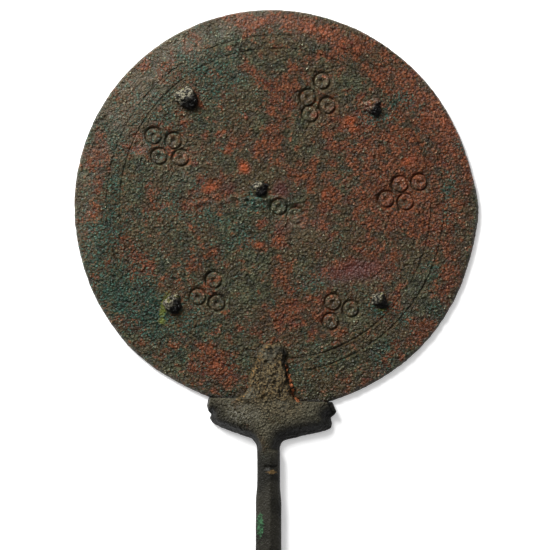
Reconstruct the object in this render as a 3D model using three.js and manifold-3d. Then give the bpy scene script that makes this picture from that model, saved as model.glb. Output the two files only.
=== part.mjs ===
// An ancient bronze hand mirror: a cast disc with five broken rivets, and a handle cast in one piece.
// It lies on its flat reflecting face, decorated side up. Millimetres, +Z up.
// The origin is the centre of the disc on the reflecting face, and the handle points along -Y.
import * as THREE from "three";
import { mergeVertices } from "three/addons/utils/BufferGeometryUtils.js";
import Module from "manifold-3d";

// Driving dimensions of the disc
const DISC_RADIUS = 85;
const RIM_BAND = 11.8;
const FIELD_THICKNESS = 3.4;
const RIM_FALL = 0.9;
const RIM_ROUND = 1.0;
const RIM_CROWN = 0.12;
const RIM_STEPS = 4;
const DISC_STEPS = 84;

// The compass point of the two incised circles is a little off the disc's centre.
const COMPASS_X = 0.6;
const COMPASS_Y = 2.3;
const CIRCLE_INSET = 1.6;
const CIRCLE_SPACING = 5.6;
const CIRCLE_WIDTH = 0.8;
const CIRCLE_DEPTH = 0.35;

// Soft bumps and hollows of the worn rim: the angle from +X, the spread in degrees and the height.
const RIM_WEAR = [
  { at: 0, spread: 7, height: 1.5 },
  { at: 50, spread: 25, height: -0.9 },
  { at: 135, spread: 30, height: 0.6 },
  { at: 200, spread: 15, height: -0.35 },
  { at: 243, spread: 10, height: -0.95 },
  { at: 297, spread: 10, height: -0.4 },
  { at: 335, spread: 20, height: 0.6 },
];

// Ring-and-dot stamps
const RING_RADIUS = 3.5;
const RING_WIDTH = 0.9;
const RING_DEPTH = 0.45;
const DOT_RADIUS = 1.3;
const DOT_DEPTH = 0.6;
const WORN_SHARE = 0.5;
const RING_STEPS = 14;
const DOT_STEPS = 8;

// Clusters of stamps: the cluster's place as shares of the disc's radius, then each stamp's [x, y] from
// there. A worn stamp is shallower, and one stamp has lost its ring.
const CLUSTERS = [
  { across: -0.536, up: 0.308, stamps: [[-5.6, 5.1], [2.9, 3.0], [-3.2, -3.6], [5.9, -4.2]] },
  { across: -0.682, up: 0.328, stamps: [[0, 0]], ringLost: true },
  { across: 0.212, up: 0.549, stamps: [[2.2, 7.8], [-3.8, 0.8], [4.5, -2.6], [-2.9, -6.2]] },
  { across: 0.64, up: 0.088, stamps: [[-1.1, 3.2], [7.0, 4.1], [-7.0, -3.1], [1.2, -4.2]] },
  { across: 0.317, up: -0.505, stamps: [[-2.1, 3.7], [5.4, 0.8], [-3.1, -4.5]] },
  { across: -0.324, up: -0.418, stamps: [[1.8, 5.7], [-5.0, -1.5], [3.1, -4.1]] },
  { across: 0.022, up: 0.014, stamps: [[0, 0]] },
  { across: 0.105, up: -0.031, stamps: [[0, 0]], worn: true },
];

// Rivets: the place as shares of the disc's radius, the head's radius and height, and the turn of its
// broken lumps in degrees
const RIVETS = [
  { name: "rivet_upper_left", across: -0.438, up: 0.554, radius: 4.3, height: 4.6, turn: 20 },
  { name: "rivet_upper_right", across: 0.487, up: 0.514, radius: 4.0, height: 2.6, turn: 100 },
  { name: "rivet_centre", across: -0.073, up: 0.109, radius: 3.4, height: 3.4, turn: 200 },
  { name: "rivet_lower_left", across: -0.507, up: -0.471, radius: 3.9, height: 3.8, turn: 310 },
  { name: "rivet_lower_right", across: 0.522, up: -0.451, radius: 4.1, height: 3.6, turn: 60 },
];
const SHANK_RADIUS = 2.0;

// The head's profile as shares of its radius and height, and how far its lumps stand out as a share
const HEAD_PROFILE = [
  [0.93, 0],
  [1, 0.25],
  [0.85, 0.6],
  [0.5, 0.9],
  [0, 1],
];
const HEAD_LUMP = 0.1;
const HEAD_STEPS = 12;
const SHANK_STEPS = 16;

// What is fitted keeps this gap to its neighbour.
const FIT_CLEARANCE = 0.3;

// The rod, from the neck down: its axis, its widths, the lengths of its stretches and its faceted section
const ROD_AXIS = -2.5;
const NECK_DROP = 17;
const NECK_WIDTH = 9.7;
const NECK_LENGTH = 13;
const TAPER_LENGTH = 11;
const GRIP_WIDTH = 10.9;
const GRIP_LENGTH = 64;
const BUTT_WIDTH = 13.6;
const BUTT_LENGTH = 11;
const BUTT_TIP_SHARE = 0.3;
const BUTT_TIP_HEIGHT_SHARE = 0.45;
const ROD_SIDE_HEIGHT = 3.6;
const ROD_RIDGE_HEIGHT = 7.2;
const ROD_RIDGE_SHARE = 0.57;
const ROD_FULLNESS = 0.55;
const BASE_BEVEL = 0.9;

// The shoulder: the left and right contours of its upper and lower lobes as [x, height above the disc's
// lowest point]. The lower lobe starts in the notch and ends where the fillet to the neck starts. The
// shoulder's stations are tilted by the skew.
const SHOULDER_SKEW = -0.04;
const LEFT_LOBES = {
  upper: [
    [-27.9, 5.5],
    [-28.8, 1.8],
    [-28.0, -0.4],
  ],
  lower: [
    [-26.7, -1.6],
    [-27.5, -3.4],
    [-26.4, -5.2],
    [-23.9, -6.7],
    [-18.6, -8.8],
    [-13.0, -11.1],
  ],
};
const RIGHT_LOBES = {
  upper: [
    [24.6, 3.4],
    [26.4, -0.6],
    [25.7, -2.0],
  ],
  lower: [
    [23.9, -3.1],
    [24.5, -5.6],
    [23.9, -7.6],
    [20.3, -9.3],
    [10.6, -11.2],
    [4.9, -12.7],
  ],
};
const NECK_FILLET_STEPS = 4;
const SHOULDER_RISE = 2.9;
const SHOULDER_EDGE_HEIGHT = 1.6;
const LEFT_SLOPE_WIDTH = 3.8;
const RIGHT_SLOPE_WIDTH = 6.6;
const END_ROUND = 1.1;
const END_WALL_SHARE = 0.4;

// The right arm's upper lobe ends in a lower step.
const END_STEP_LENGTH = 2.2;
const END_STEP_HEIGHT = 4.2;

// A small cut across the rod below the neck
const NOTCH_DROP = 6.8;
const NOTCH_WIDTH = 2.4;
const NOTCH_DEPTH = 1.0;
const NOTCH_LEFT = -2.1;
const NOTCH_RIGHT = 3.7;

// The tongue over the disc: its left and right contours as [x, height above the disc's lowest point],
// from the tip down to the shoulder
const TONGUE_LEFT = [
  [-2.9, 27.8],
  [-5.0, 26.1],
  [-7.1, 23.7],
  [-7.3, 21.2],
  [-9.0, 18.5],
  [-10.8, 14.1],
  [-10.9, 9.4],
  [-13.4, 6.3],
  [-18.0, 3.8],
];
const TONGUE_RIGHT = [
  [2.0, 28.6],
  [4.3, 25.6],
  [4.4, 19.5],
  [5.3, 16.3],
  [6.4, 11.0],
  [7.1, 6.6],
  [10.8, 2.1],
];
const TONGUE_TIP_RISE = 1.5;
const TONGUE_ROUND = 1.8;

// How finely the handle is cut into stations along its length and points across its front
const SHOULDER_STATION = 1.1;
const ROD_STATION = 6.0;
const TONGUE_STATION = 1.9;
const BUTT_STEPS = 6;
const ACROSS = 14;

// What follows from these sizes
const FIELD_RADIUS = DISC_RADIUS - RIM_BAND;
const RIM_THICKNESS = FIELD_THICKNESS - RIM_FALL;
const CIRCLE_RADII = [FIELD_RADIUS - CIRCLE_INSET, FIELD_RADIUS - CIRCLE_INSET - CIRCLE_SPACING];
const RIM_Y = -DISC_RADIUS;
const NECK_Y = RIM_Y - NECK_DROP;
const TAPER_Y = NECK_Y - NECK_LENGTH;
const GRIP_Y = TAPER_Y - TAPER_LENGTH;
const BUTT_Y = GRIP_Y - GRIP_LENGTH;
const DISC_SEAT = FIELD_THICKNESS + FIT_CLEARANCE;
const FRONT_HEIGHT = DISC_SEAT + SHOULDER_RISE;

const wasm = await Module();
wasm.setup();

// A closed three.js geometry as a solid for joining and cutting
function solidOf(geometry) {
  const bare = geometry.clone();
  bare.deleteAttribute("normal");
  bare.deleteAttribute("uv");
  const merged = mergeVertices(bare, 1e-4);
  return new wasm.Manifold(
    new wasm.Mesh({
      numProp: 3,
      vertProperties: new Float32Array(merged.attributes.position.array),
      triVerts: new Uint32Array(merged.index.array),
    }),
  );
}

// A solid as a three.js geometry with flat faces
function geometryOf(solid) {
  const mesh = solid.getMesh();
  const geometry = new THREE.BufferGeometry();
  geometry.setAttribute("position", new THREE.BufferAttribute(mesh.vertProperties, 3));
  geometry.setIndex(new THREE.BufferAttribute(mesh.triVerts, 1));
  const faceted = geometry.toNonIndexed();
  faceted.computeVertexNormals();
  return faceted;
}

// A lathe about +Z from a profile of [radius, height] points that starts and ends on the axis or closes.
// The profile runs upwards on the outside, so that the faces point out.
function turned(profile, steps) {
  const points = profile.map(([radius, height]) => new THREE.Vector2(radius, height));
  return new THREE.LatheGeometry(points, steps).rotateX(Math.PI / 2);
}

function movedTo(geometry, x, y) {
  return geometry.translate(x, y, 0);
}

// How far the worn rim stands outside the true circle at an angle in radians: a sum of soft bumps
function rimWear(angle) {
  const degrees = THREE.MathUtils.radToDeg(angle);
  let total = 0;
  for (const bump of RIM_WEAR) {
    const turnAway = THREE.MathUtils.euclideanModulo(degrees - bump.at + 180, 360) - 180;
    total += bump.height * Math.exp(-0.5 * (turnAway / bump.spread) ** 2);
  }
  return total;
}

// The disc's own solid, grown on every side by a margin. The rings of its lathe shift from the incised
// circles' compass point in the field to the disc's own centre and worn outline at the rim.
function discBody(margin) {
  const top = FIELD_THICKNESS + margin;
  const rimTop = RIM_THICKNESS + margin;
  const edgeCentre = DISC_RADIUS + margin - RIM_ROUND;
  const profile = [[0, -margin]];
  for (let step = 0; step <= RIM_STEPS; step += 1) {
    const turn = Math.PI * (step / RIM_STEPS - 0.5);
    const height = THREE.MathUtils.mapLinear(Math.sin(turn), -1, 1, -margin, rimTop);
    profile.push([edgeCentre + RIM_ROUND * Math.cos(turn), height]);
  }
  profile.push([(edgeCentre + FIELD_RADIUS) / 2, (rimTop + top) / 2 + RIM_CROWN]);
  profile.push([FIELD_RADIUS, top]);
  profile.push([0, top]);
  const geometry = turned(profile, DISC_STEPS);
  const position = geometry.attributes.position;
  for (let i = 0; i < position.count; i += 1) {
    const x = position.getX(i);
    const y = position.getY(i);
    const radius = Math.hypot(x, y);
    if (radius < FIELD_RADIUS - 1e-3) {
      position.setXY(i, x + COMPASS_X, y + COMPASS_Y);
      continue;
    }
    const share = THREE.MathUtils.clamp((radius - FIELD_RADIUS) / RIM_BAND, 0, 1);
    const angle = Math.atan2(y, x);
    const grown = radius + share * rimWear(angle);
    position.setXY(
      i,
      Math.cos(angle) * grown + (1 - share) * COMPASS_X,
      Math.sin(angle) * grown + (1 - share) * COMPASS_Y,
    );
  }
  return geometry;
}

// A cutter for a round groove with a V section in the disc's face
function grooveCutter(radius, width, depth, steps) {
  const profile = [
    [radius, FIELD_THICKNESS - depth],
    [radius + width, FIELD_THICKNESS + depth],
    [radius - width, FIELD_THICKNESS + depth],
    [radius, FIELD_THICKNESS - depth],
  ];
  return turned(profile, steps);
}

// A cutter for a round dimple in the disc's face
function dotCutter(radius, depth, steps) {
  const profile = [
    [0, FIELD_THICKNESS - depth],
    [0.6 * radius, FIELD_THICKNESS - 0.8 * depth],
    [radius, FIELD_THICKNESS],
    [radius, FIELD_THICKNESS + depth],
    [0, FIELD_THICKNESS + depth],
  ];
  return turned(profile, steps);
}

function incisedCircles() {
  return CIRCLE_RADII.map((radius) =>
    movedTo(grooveCutter(radius, CIRCLE_WIDTH, CIRCLE_DEPTH, DISC_STEPS), COMPASS_X, COMPASS_Y),
  );
}

function stampCutters() {
  const cutters = [];
  for (const cluster of CLUSTERS) {
    const share = cluster.worn ? WORN_SHARE : 1;
    for (const [dx, dy] of cluster.stamps) {
      const x = cluster.across * DISC_RADIUS + dx;
      const y = cluster.up * DISC_RADIUS + dy;
      cutters.push(movedTo(dotCutter(DOT_RADIUS, DOT_DEPTH * share, DOT_STEPS), x, y));
      if (!cluster.ringLost) {
        cutters.push(movedTo(grooveCutter(RING_RADIUS, RING_WIDTH, RING_DEPTH * share, RING_STEPS), x, y));
      }
    }
  }
  return cutters;
}

// The holes that the rivets pass through
function rivetHoles() {
  const radius = SHANK_RADIUS + FIT_CLEARANCE;
  const length = 3 * FIELD_THICKNESS;
  return RIVETS.map((rivet) => {
    const hole = new THREE.CylinderGeometry(radius, radius, length, SHANK_STEPS).rotateX(Math.PI / 2);
    return movedTo(hole, rivet.across * DISC_RADIUS, rivet.up * DISC_RADIUS);
  });
}

function mirrorDisc() {
  let disc = solidOf(discBody(0));
  for (const cutter of [...incisedCircles(), ...stampCutters(), ...rivetHoles()]) {
    disc = disc.subtract(solidOf(cutter));
  }
  return geometryOf(disc);
}

// One rivet: a shank flush with the reflecting face, and a head left lumpy where it broke
function rivetGeometry(rivet) {
  const head = HEAD_PROFILE.map(([wide, high]) => [wide * rivet.radius, DISC_SEAT + high * rivet.height]);
  const geometry = turned([[0, 0], [SHANK_RADIUS, 0], [SHANK_RADIUS, DISC_SEAT], ...head], HEAD_STEPS);
  const position = geometry.attributes.position;
  const turn = THREE.MathUtils.degToRad(rivet.turn);
  for (let i = 0; i < position.count; i += 1) {
    const x = position.getX(i);
    const y = position.getY(i);
    const z = position.getZ(i);
    const onAxis = Math.hypot(x, y) < 1e-3;
    const onShank = z < DISC_SEAT + 1e-3 && Math.hypot(x, y) < SHANK_RADIUS + 1e-3;
    if (onAxis || onShank) {
      continue;
    }
    const angle = Math.atan2(y, x) + turn;
    const rise = (z - DISC_SEAT) / rivet.height;
    const swell = 1 + HEAD_LUMP * (Math.sin(3 * angle) + Math.sin(2 * angle + 4 * rise));
    const tilt = HEAD_LUMP * rivet.height * rise * Math.cos(angle);
    position.setXYZ(i, x * swell, y * swell, z + tilt);
  }
  return geometryOf(solidOf(movedTo(geometry, rivet.across * DISC_RADIUS, rivet.up * DISC_RADIUS)));
}

// The x of a contour of [x, y] points at a height y, between its points by straight lines
function contourAt(contour, y) {
  if (y >= contour[0][1]) {
    return contour[0][0];
  }
  for (let i = 1; i < contour.length; i += 1) {
    const [upperX, upperY] = contour[i - 1];
    const [lowerX, lowerY] = contour[i];
    if (y >= lowerY) {
      return THREE.MathUtils.mapLinear(y, upperY, lowerY, upperX, lowerX);
    }
  }
  return contour[contour.length - 1][0];
}

// The distance from a point to a contour's line
function distanceTo(contour, x, y) {
  const point = new THREE.Vector3(x, y, 0);
  const nearest = new THREE.Vector3();
  let least = Infinity;
  for (let i = 1; i < contour.length; i += 1) {
    const line = new THREE.Line3(
      new THREE.Vector3(...contour[i - 1], 0),
      new THREE.Vector3(...contour[i], 0),
    );
    line.closestPointToPoint(point, true, nearest);
    least = Math.min(least, nearest.distanceTo(point));
  }
  return least;
}

function quarterRound(share) {
  return Math.sin((Math.PI / 2) * THREE.MathUtils.clamp(share, 0, 1));
}

// A closed solid from stations. Each station is a ring of [x, y, z] points, all with the same count,
// seen anticlockwise from the first station's outer side.
function loftOf(stations) {
  const count = stations[0].length;
  const positions = stations.flat(2);
  const index = [];
  for (let s = 1; s < stations.length; s += 1) {
    for (let i = 0; i < count; i += 1) {
      const next = (i + 1) % count;
      const a = (s - 1) * count + i;
      const b = (s - 1) * count + next;
      const c = s * count + next;
      const d = s * count + i;
      index.push(a, d, b, b, d, c);
    }
  }
  const caps = [
    { first: 0, station: stations[0], flip: true },
    { first: (stations.length - 1) * count, station: stations[stations.length - 1], flip: false },
  ];
  for (const cap of caps) {
    const flat = cap.station.map(([x, , z]) => new THREE.Vector2(x, z));
    for (const [a, b, c] of THREE.ShapeUtils.triangulateShape(flat, [])) {
      const corners = cap.flip ? [a, c, b] : [a, b, c];
      index.push(...corners.map((corner) => cap.first + corner));
    }
  }
  const geometry = new THREE.BufferGeometry();
  geometry.setAttribute("position", new THREE.Float32BufferAttribute(positions, 3));
  geometry.setIndex(index);
  return geometry;
}

// One station of a front surface over a flat back: points across the front from left to right at
// heights given by a function of x, then the bevelled corners of the back
function stationOf(y, left, right, foot, bevel, heightAt, skew) {
  const ring = [];
  for (let i = 0; i <= ACROSS; i += 1) {
    const share = 0.5 - 0.5 * Math.cos((Math.PI * i) / ACROSS);
    const x = left + (right - left) * share;
    ring.push([x, y + skew * x, heightAt(x)]);
  }
  ring.push([right, y + skew * right, foot + bevel]);
  ring.push([right - bevel, y + skew * (right - bevel), foot]);
  ring.push([left + bevel, y + skew * (left + bevel), foot]);
  ring.push([left, y + skew * left, foot + bevel]);
  return ring;
}

// A list of [x, height above the disc's lowest point] in the part's frame
function inFrame(contour) {
  return contour.map(([x, above]) => [x, RIM_Y + above]);
}

// One side's contours in the part's frame with the tilt of the stations taken out: the lower lobe is
// ended by a hollow fillet to the rod's side at the neck.
function sideContours(lobes, rodSide) {
  const lower = inFrame(lobes.lower);
  const [startX, startY] = lower[lower.length - 1];
  for (let step = 1; step <= NECK_FILLET_STEPS; step += 1) {
    const turn = (Math.PI / 2) * (step / NECK_FILLET_STEPS);
    const x = startX + (rodSide - startX) * Math.sin(turn);
    const y = NECK_Y + (startY - NECK_Y) * Math.cos(turn);
    lower.push([x, y]);
  }
  const level = ([x, y]) => [x, y - SHOULDER_SKEW * x];
  const whole = [...inFrame(lobes.upper), ...lower];
  return { whole: whole.map(level), lower: lower.map(level) };
}

// The height of the rod's front: two facets that meet at a ridge right of the middle
function rodFront(x, left, right) {
  const share = (x - left) / (right - left);
  const climb = share < ROD_RIDGE_SHARE ? share / ROD_RIDGE_SHARE : (1 - share) / (1 - ROD_RIDGE_SHARE);
  return ROD_SIDE_HEIGHT + (ROD_RIDGE_HEIGHT - ROD_SIDE_HEIGHT) * climb ** ROD_FULLNESS;
}

// The rod's width: the neck widens to the grip along the taper, and the grip swells towards the butt.
function rodWidth(y) {
  const taper = THREE.MathUtils.smoothstep(TAPER_Y - y, 0, TAPER_LENGTH);
  const swell = THREE.MathUtils.smoothstep(GRIP_Y - y, GRIP_LENGTH / 3, GRIP_LENGTH);
  return NECK_WIDTH + (GRIP_WIDTH - NECK_WIDTH) * taper + (BUTT_WIDTH - GRIP_WIDTH) * swell;
}

// The stations of the shoulder, from the disc down to the neck
function shoulderStations() {
  const left = sideContours(LEFT_LOBES, ROD_AXIS - NECK_WIDTH / 2);
  const right = sideContours(RIGHT_LOBES, ROD_AXIS + NECK_WIDTH / 2);
  const top = Math.max(left.whole[0][1], right.whole[0][1]);
  const count = Math.ceil((top - NECK_Y) / SHOULDER_STATION);
  const stations = [];
  for (let s = 0; s <= count; s += 1) {
    const y = THREE.MathUtils.lerp(top, NECK_Y, s / count);
    const leftX = contourAt(left.whole, y);
    const rightX = contourAt(right.whole, y);
    const onUpperLobe = y > right.lower[0][1];
    const front = (x) => {
      const slopeLeft = distanceTo(left.lower, x, y) / LEFT_SLOPE_WIDTH;
      const slopeRight = distanceTo(right.lower, x, y) / RIGHT_SLOPE_WIDTH;
      const ends = Math.min(x - leftX, rightX - x) / END_ROUND;
      const slope = quarterRound(Math.min(slopeLeft, slopeRight));
      const end = THREE.MathUtils.lerp(END_WALL_SHARE, 1, quarterRound(ends));
      const fall = FRONT_HEIGHT - SHOULDER_EDGE_HEIGHT;
      const height = SHOULDER_EDGE_HEIGHT + fall * Math.min(slope, end);
      const onStep = onUpperLobe && rightX - x < END_STEP_LENGTH;
      return onStep ? Math.min(height, END_STEP_HEIGHT) : height;
    };
    stations.push(stationOf(y, leftX, rightX, 0, BASE_BEVEL, front, SHOULDER_SKEW));
  }
  return stations;
}

// The heights along the rod where its stations lie: even steps, then closer ones round the butt
function rodHeights() {
  const heights = [];
  for (let y = NECK_Y - ROD_STATION / 2; y > BUTT_Y + ROD_STATION / 4; y -= ROD_STATION) {
    heights.push(y);
  }
  for (let s = 0; s <= BUTT_STEPS; s += 1) {
    heights.push(BUTT_Y - BUTT_LENGTH * Math.sin((Math.PI / 2) * (s / BUTT_STEPS)));
  }
  return heights;
}

// The stations of the rod, from the neck to its rounded butt
function rodStations() {
  return rodHeights().map((y) => {
    const intoButt = THREE.MathUtils.clamp((BUTT_Y - y) / BUTT_LENGTH, 0, 1);
    const share = Math.max(Math.sqrt(1 - intoButt ** 2), BUTT_TIP_SHARE);
    const half = (rodWidth(y) / 2) * share;
    const left = ROD_AXIS - half;
    const right = ROD_AXIS + half;
    const front = (x) => rodFront(x, left, right) * THREE.MathUtils.lerp(BUTT_TIP_HEIGHT_SHARE, 1, share);
    return stationOf(y, left, right, 0, BASE_BEVEL * share, front, 0);
  });
}

// The tongue, a rough strap over the disc that thickens towards the shoulder
function tongueStations() {
  const left = inFrame(TONGUE_LEFT);
  const right = inFrame(TONGUE_RIGHT);
  const tip = Math.min(left[0][1], right[0][1]);
  const root = right[right.length - 1][1];
  const count = Math.ceil((tip - root) / TONGUE_STATION);
  const side = DISC_SEAT + FIT_CLEARANCE;
  const stations = [];
  for (let s = 0; s <= count; s += 1) {
    const y = THREE.MathUtils.lerp(tip, root, s / count);
    const leftX = contourAt(left, y);
    const rightX = contourAt(right, y);
    const crown = THREE.MathUtils.lerp(DISC_SEAT + TONGUE_TIP_RISE, FRONT_HEIGHT, Math.sqrt(s / count));
    const front = (x) =>
      side + (crown - side) * quarterRound(Math.min(x - leftX, rightX - x) / TONGUE_ROUND);
    stations.push(stationOf(y, leftX, rightX, RIM_THICKNESS / 2, FIT_CLEARANCE, front, 0));
  }
  return stations;
}

function notchCutter() {
  const width = NOTCH_RIGHT - NOTCH_LEFT;
  const notch = new THREE.BoxGeometry(width, NOTCH_WIDTH, 2 * NOTCH_DEPTH);
  return notch.translate(ROD_AXIS + NOTCH_LEFT + width / 2, NECK_Y - NOTCH_DROP, ROD_RIDGE_HEIGHT);
}

// The handle: shoulder and rod are one loft, the tongue joins it, and the disc's seat is cut from the back
function handleGeometry() {
  const stem = solidOf(loftOf([...shoulderStations(), ...rodStations()]));
  const tongue = solidOf(loftOf(tongueStations()));
  const seat = solidOf(discBody(FIT_CLEARANCE));
  const handle = stem.add(tongue).subtract(seat).subtract(solidOf(notchCutter()));
  return geometryOf(handle);
}

function namedMesh(name, geometry, material) {
  const mesh = new THREE.Mesh(geometry, material);
  mesh.name = name;
  return mesh;
}

const discBronze = new THREE.MeshStandardMaterial({ color: 0x4a4037, roughness: 0.75, metalness: 0.35 });
const handleBronze = new THREE.MeshStandardMaterial({ color: 0x3a352c, roughness: 0.6, metalness: 0.5 });
const rivetBronze = new THREE.MeshStandardMaterial({ color: 0x35322c, roughness: 0.6, metalness: 0.4 });

const mirror = new THREE.Group();
mirror.add(namedMesh("mirror_disc", mirrorDisc(), discBronze));
mirror.add(namedMesh("handle", handleGeometry(), handleBronze));
for (const rivet of RIVETS) {
  mirror.add(namedMesh(rivet.name, rivetGeometry(rivet), rivetBronze.clone()));
}

export default mirror;
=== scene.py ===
# %% [markdown]
# # An ancient bronze hand mirror
# The mirror lies on its flat reflecting face, and we look straight down on its decorated side. The plain
# solids come from model.glb, and this script loads them as a frame that never changes. Each solid is then
# replaced by a finer surface that carries the corrosion, and each surface gets a finish made of shader
# nodes. Lengths are in millimetres in the arrays and in metres in Blender.

import bmesh
import bpy
import numpy as np
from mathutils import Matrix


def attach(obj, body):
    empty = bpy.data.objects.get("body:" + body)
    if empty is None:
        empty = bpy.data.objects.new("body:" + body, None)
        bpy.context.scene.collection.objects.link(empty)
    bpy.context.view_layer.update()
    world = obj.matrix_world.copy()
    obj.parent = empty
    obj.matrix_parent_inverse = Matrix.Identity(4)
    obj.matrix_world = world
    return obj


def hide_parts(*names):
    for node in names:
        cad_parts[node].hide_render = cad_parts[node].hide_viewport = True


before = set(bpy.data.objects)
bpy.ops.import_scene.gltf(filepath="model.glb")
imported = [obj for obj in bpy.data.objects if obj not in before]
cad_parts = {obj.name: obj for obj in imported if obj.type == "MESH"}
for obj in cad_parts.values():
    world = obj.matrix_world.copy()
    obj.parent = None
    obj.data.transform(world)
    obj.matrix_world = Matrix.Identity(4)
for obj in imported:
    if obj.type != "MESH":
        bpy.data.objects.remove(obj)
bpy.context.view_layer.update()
print("nodes of the frame:", sorted(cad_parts))

# %% [markdown]
# ## Camera, floor and light
# The photograph was taken from straight above, with a long lens, so the disc shows as a plain circle.
# A camera that looks down along -Z needs no turn at all. Its distance is free, because the lens follows
# from the distance and the width of floor that the frame takes in.

# %% Place the camera
MM = 0.001
FRAME_WIDTH = 233.6
FRAME_CENTRE_X = 0.23
FRAME_CENTRE_Y = -27.69
CAMERA_HEIGHT = 1400.0
SENSOR_WIDTH = 36.0

camera_data = bpy.data.cameras.new("camera")
camera_data.sensor_width = SENSOR_WIDTH
camera_data.lens = SENSOR_WIDTH * CAMERA_HEIGHT / FRAME_WIDTH
camera = bpy.data.objects.new("camera", camera_data)
camera.location = (FRAME_CENTRE_X * MM, FRAME_CENTRE_Y * MM, CAMERA_HEIGHT * MM)
bpy.context.collection.objects.link(camera)
bpy.context.scene.camera = camera
bpy.context.scene.view_settings.view_transform = "Standard"
print("lens in millimetres:", round(camera_data.lens, 1))

# %% [markdown]
# The floor is a plain white sheet that glows a little, like a light table. The photograph's shadows are
# short and soft below the disc and to its lower right, and the stamps and rivets are lit from the upper
# left. So the key lamp, a square about half a metre wide, stands fairly low at the upper left. A broad
# weak lamp stands higher behind the top of the mirror, and the world's even light fills the shade.
# Together they light the floor just up to white, so that the soft shadows show.

# %% Lay the floor and set the lamps
FLOOR_HALF = 3.0
FLOOR_COLOUR = (0.92, 0.92, 0.92, 1.0)
FLOOR_ROUGHNESS = 0.9
FLOOR_GLOW = 0.4
WORLD_STRENGTH = 0.16
LAMPS = [
    # name, azimuth, elevation, distance, size, power
    ("key", 127.0, 33.0, 1.2, 0.55, 30.0),
    ("broad", 104.0, 50.0, 1.2, 1.2, 3.4),
]


def plain_material(name, tint, roughness, glow):
    """A material with one colour and one roughness, which glows a little in its own colour."""
    material = bpy.data.materials.new(name)
    material.use_nodes = True
    shader = material.node_tree.nodes["Principled BSDF"]
    shader.inputs["Base Color"].default_value = tint
    shader.inputs["Roughness"].default_value = roughness
    shader.inputs["Emission Color"].default_value = tint
    shader.inputs["Emission Strength"].default_value = glow
    return material


def lay_floor():
    """A square of four points at height zero."""
    corners = [(-FLOOR_HALF, -FLOOR_HALF, 0), (FLOOR_HALF, -FLOOR_HALF, 0)]
    corners += [(FLOOR_HALF, FLOOR_HALF, 0), (-FLOOR_HALF, FLOOR_HALF, 0)]
    mesh = bpy.data.meshes.new("floor")
    mesh.from_pydata(corners, [], [(0, 1, 2, 3)])
    floor = bpy.data.objects.new("floor", mesh)
    bpy.context.collection.objects.link(floor)
    mesh.materials.append(plain_material("white_sheet", FLOOR_COLOUR, FLOOR_ROUGHNESS, FLOOR_GLOW))


def hang_lamp(name, azimuth, elevation, distance, size, power):
    """A square lamp on a sphere round the mirror's middle, turned to face it."""
    lamp_data = bpy.data.lights.new(name, "AREA")
    lamp_data.size = size
    lamp_data.energy = power
    lamp = bpy.data.objects.new(name, lamp_data)
    around = np.radians(azimuth)
    up = np.radians(elevation)
    lamp.location = (
        distance * np.cos(up) * np.cos(around),
        distance * np.cos(up) * np.sin(around),
        distance * np.sin(up),
    )
    lamp.rotation_euler = (np.pi / 2 - up, 0, around + np.pi / 2)
    bpy.context.collection.objects.link(lamp)


def light_world(strength):
    """The same white light from every side."""
    world = bpy.data.worlds.new("even_light")
    world.use_nodes = True
    background = world.node_tree.nodes["Background"]
    background.inputs["Color"].default_value = (1, 1, 1, 1)
    background.inputs["Strength"].default_value = strength
    bpy.context.scene.world = world


lay_floor()
light_world(WORLD_STRENGTH)
for lamp_row in LAMPS:
    hang_lamp(*lamp_row)

# %% [markdown]
# ## Tools for surfaces
# Every surface here is an array of points. Corrosion is random but never without structure: it has
# pebbles, lumps and hollows of certain sizes. Gradient noise has a size and no hard steps, so sums of it
# give all of these. Random slopes sit at the corners of a grid of cubes, and a point takes a smooth
# blend of what the slopes at its cube's eight corners say.

# %% Noise
TABLE_SIZE = 256
SEED_SHIFT = 17.3
CREASE_GAIN = 2.2
RANDOM = np.random.default_rng(7)
SHUFFLED = RANDOM.permutation(TABLE_SIZE)
SLOPES = RANDOM.normal(size=(TABLE_SIZE, 3))
SLOPES /= np.linalg.norm(SLOPES, axis=1, keepdims=True)


def noise(points, size, seed=0):
    """Gradient noise, about -0.7 to 0.7: at each corner of a point's cube, the corner's slope times the
    way from the corner to the point, blended by the ease 6t^5 - 15t^4 + 10t^3 along each axis."""
    scaled = points / size + SEED_SHIFT * seed
    cell = np.floor(scaled).astype(int)
    part = scaled - cell
    ease = part**3 * (part * (part * 6 - 15) + 10)
    total = np.zeros(len(points))
    for corner in np.ndindex(2, 2, 2):
        lattice = (cell + corner) % TABLE_SIZE
        pick = SHUFFLED[lattice[:, 0]]
        pick = SHUFFLED[(pick + lattice[:, 1]) % TABLE_SIZE]
        pick = SHUFFLED[(pick + lattice[:, 2]) % TABLE_SIZE]
        weight = np.where(corner, ease, 1 - ease).prod(axis=1)
        total += weight * (SLOPES[pick] * (part - corner)).sum(axis=1)
    return total


def layered(points, size, octaves, seed=0):
    """Noise of one size, plus noise of half the size at half the strength, and so on."""
    return sum(noise(points, size / 2**k, seed + k) / 2**k for k in range(octaves))


def pebbled(points, size, seed=0):
    """Rounded tops between sharp creases, about 0 to 1: the noise without its sign."""
    return CREASE_GAIN * np.abs(noise(points, size, seed))


def smooth_step(low, high, value):
    """0 below low, 1 above high, and an even curve between: 3t^2 - 2t^3."""
    t = np.clip((value - low) / (high - low), 0, 1)
    return t * t * (3 - 2 * t)


def window(value, opens, opened, closes, closed):
    """0 outside the window, 1 well inside it: one smooth step up, times one down."""
    return smooth_step(opens, opened, value) * (1 - smooth_step(closes, closed, value))


# %% From arrays to a piece


def grid_faces(index):
    """The four corners of each cell of an array of point numbers, anticlockwise."""
    corners = [index[:-1, :-1], index[:-1, 1:], index[1:, 1:], index[1:, :-1]]
    return np.stack(corners, axis=-1).reshape(-1, 4)


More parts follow.
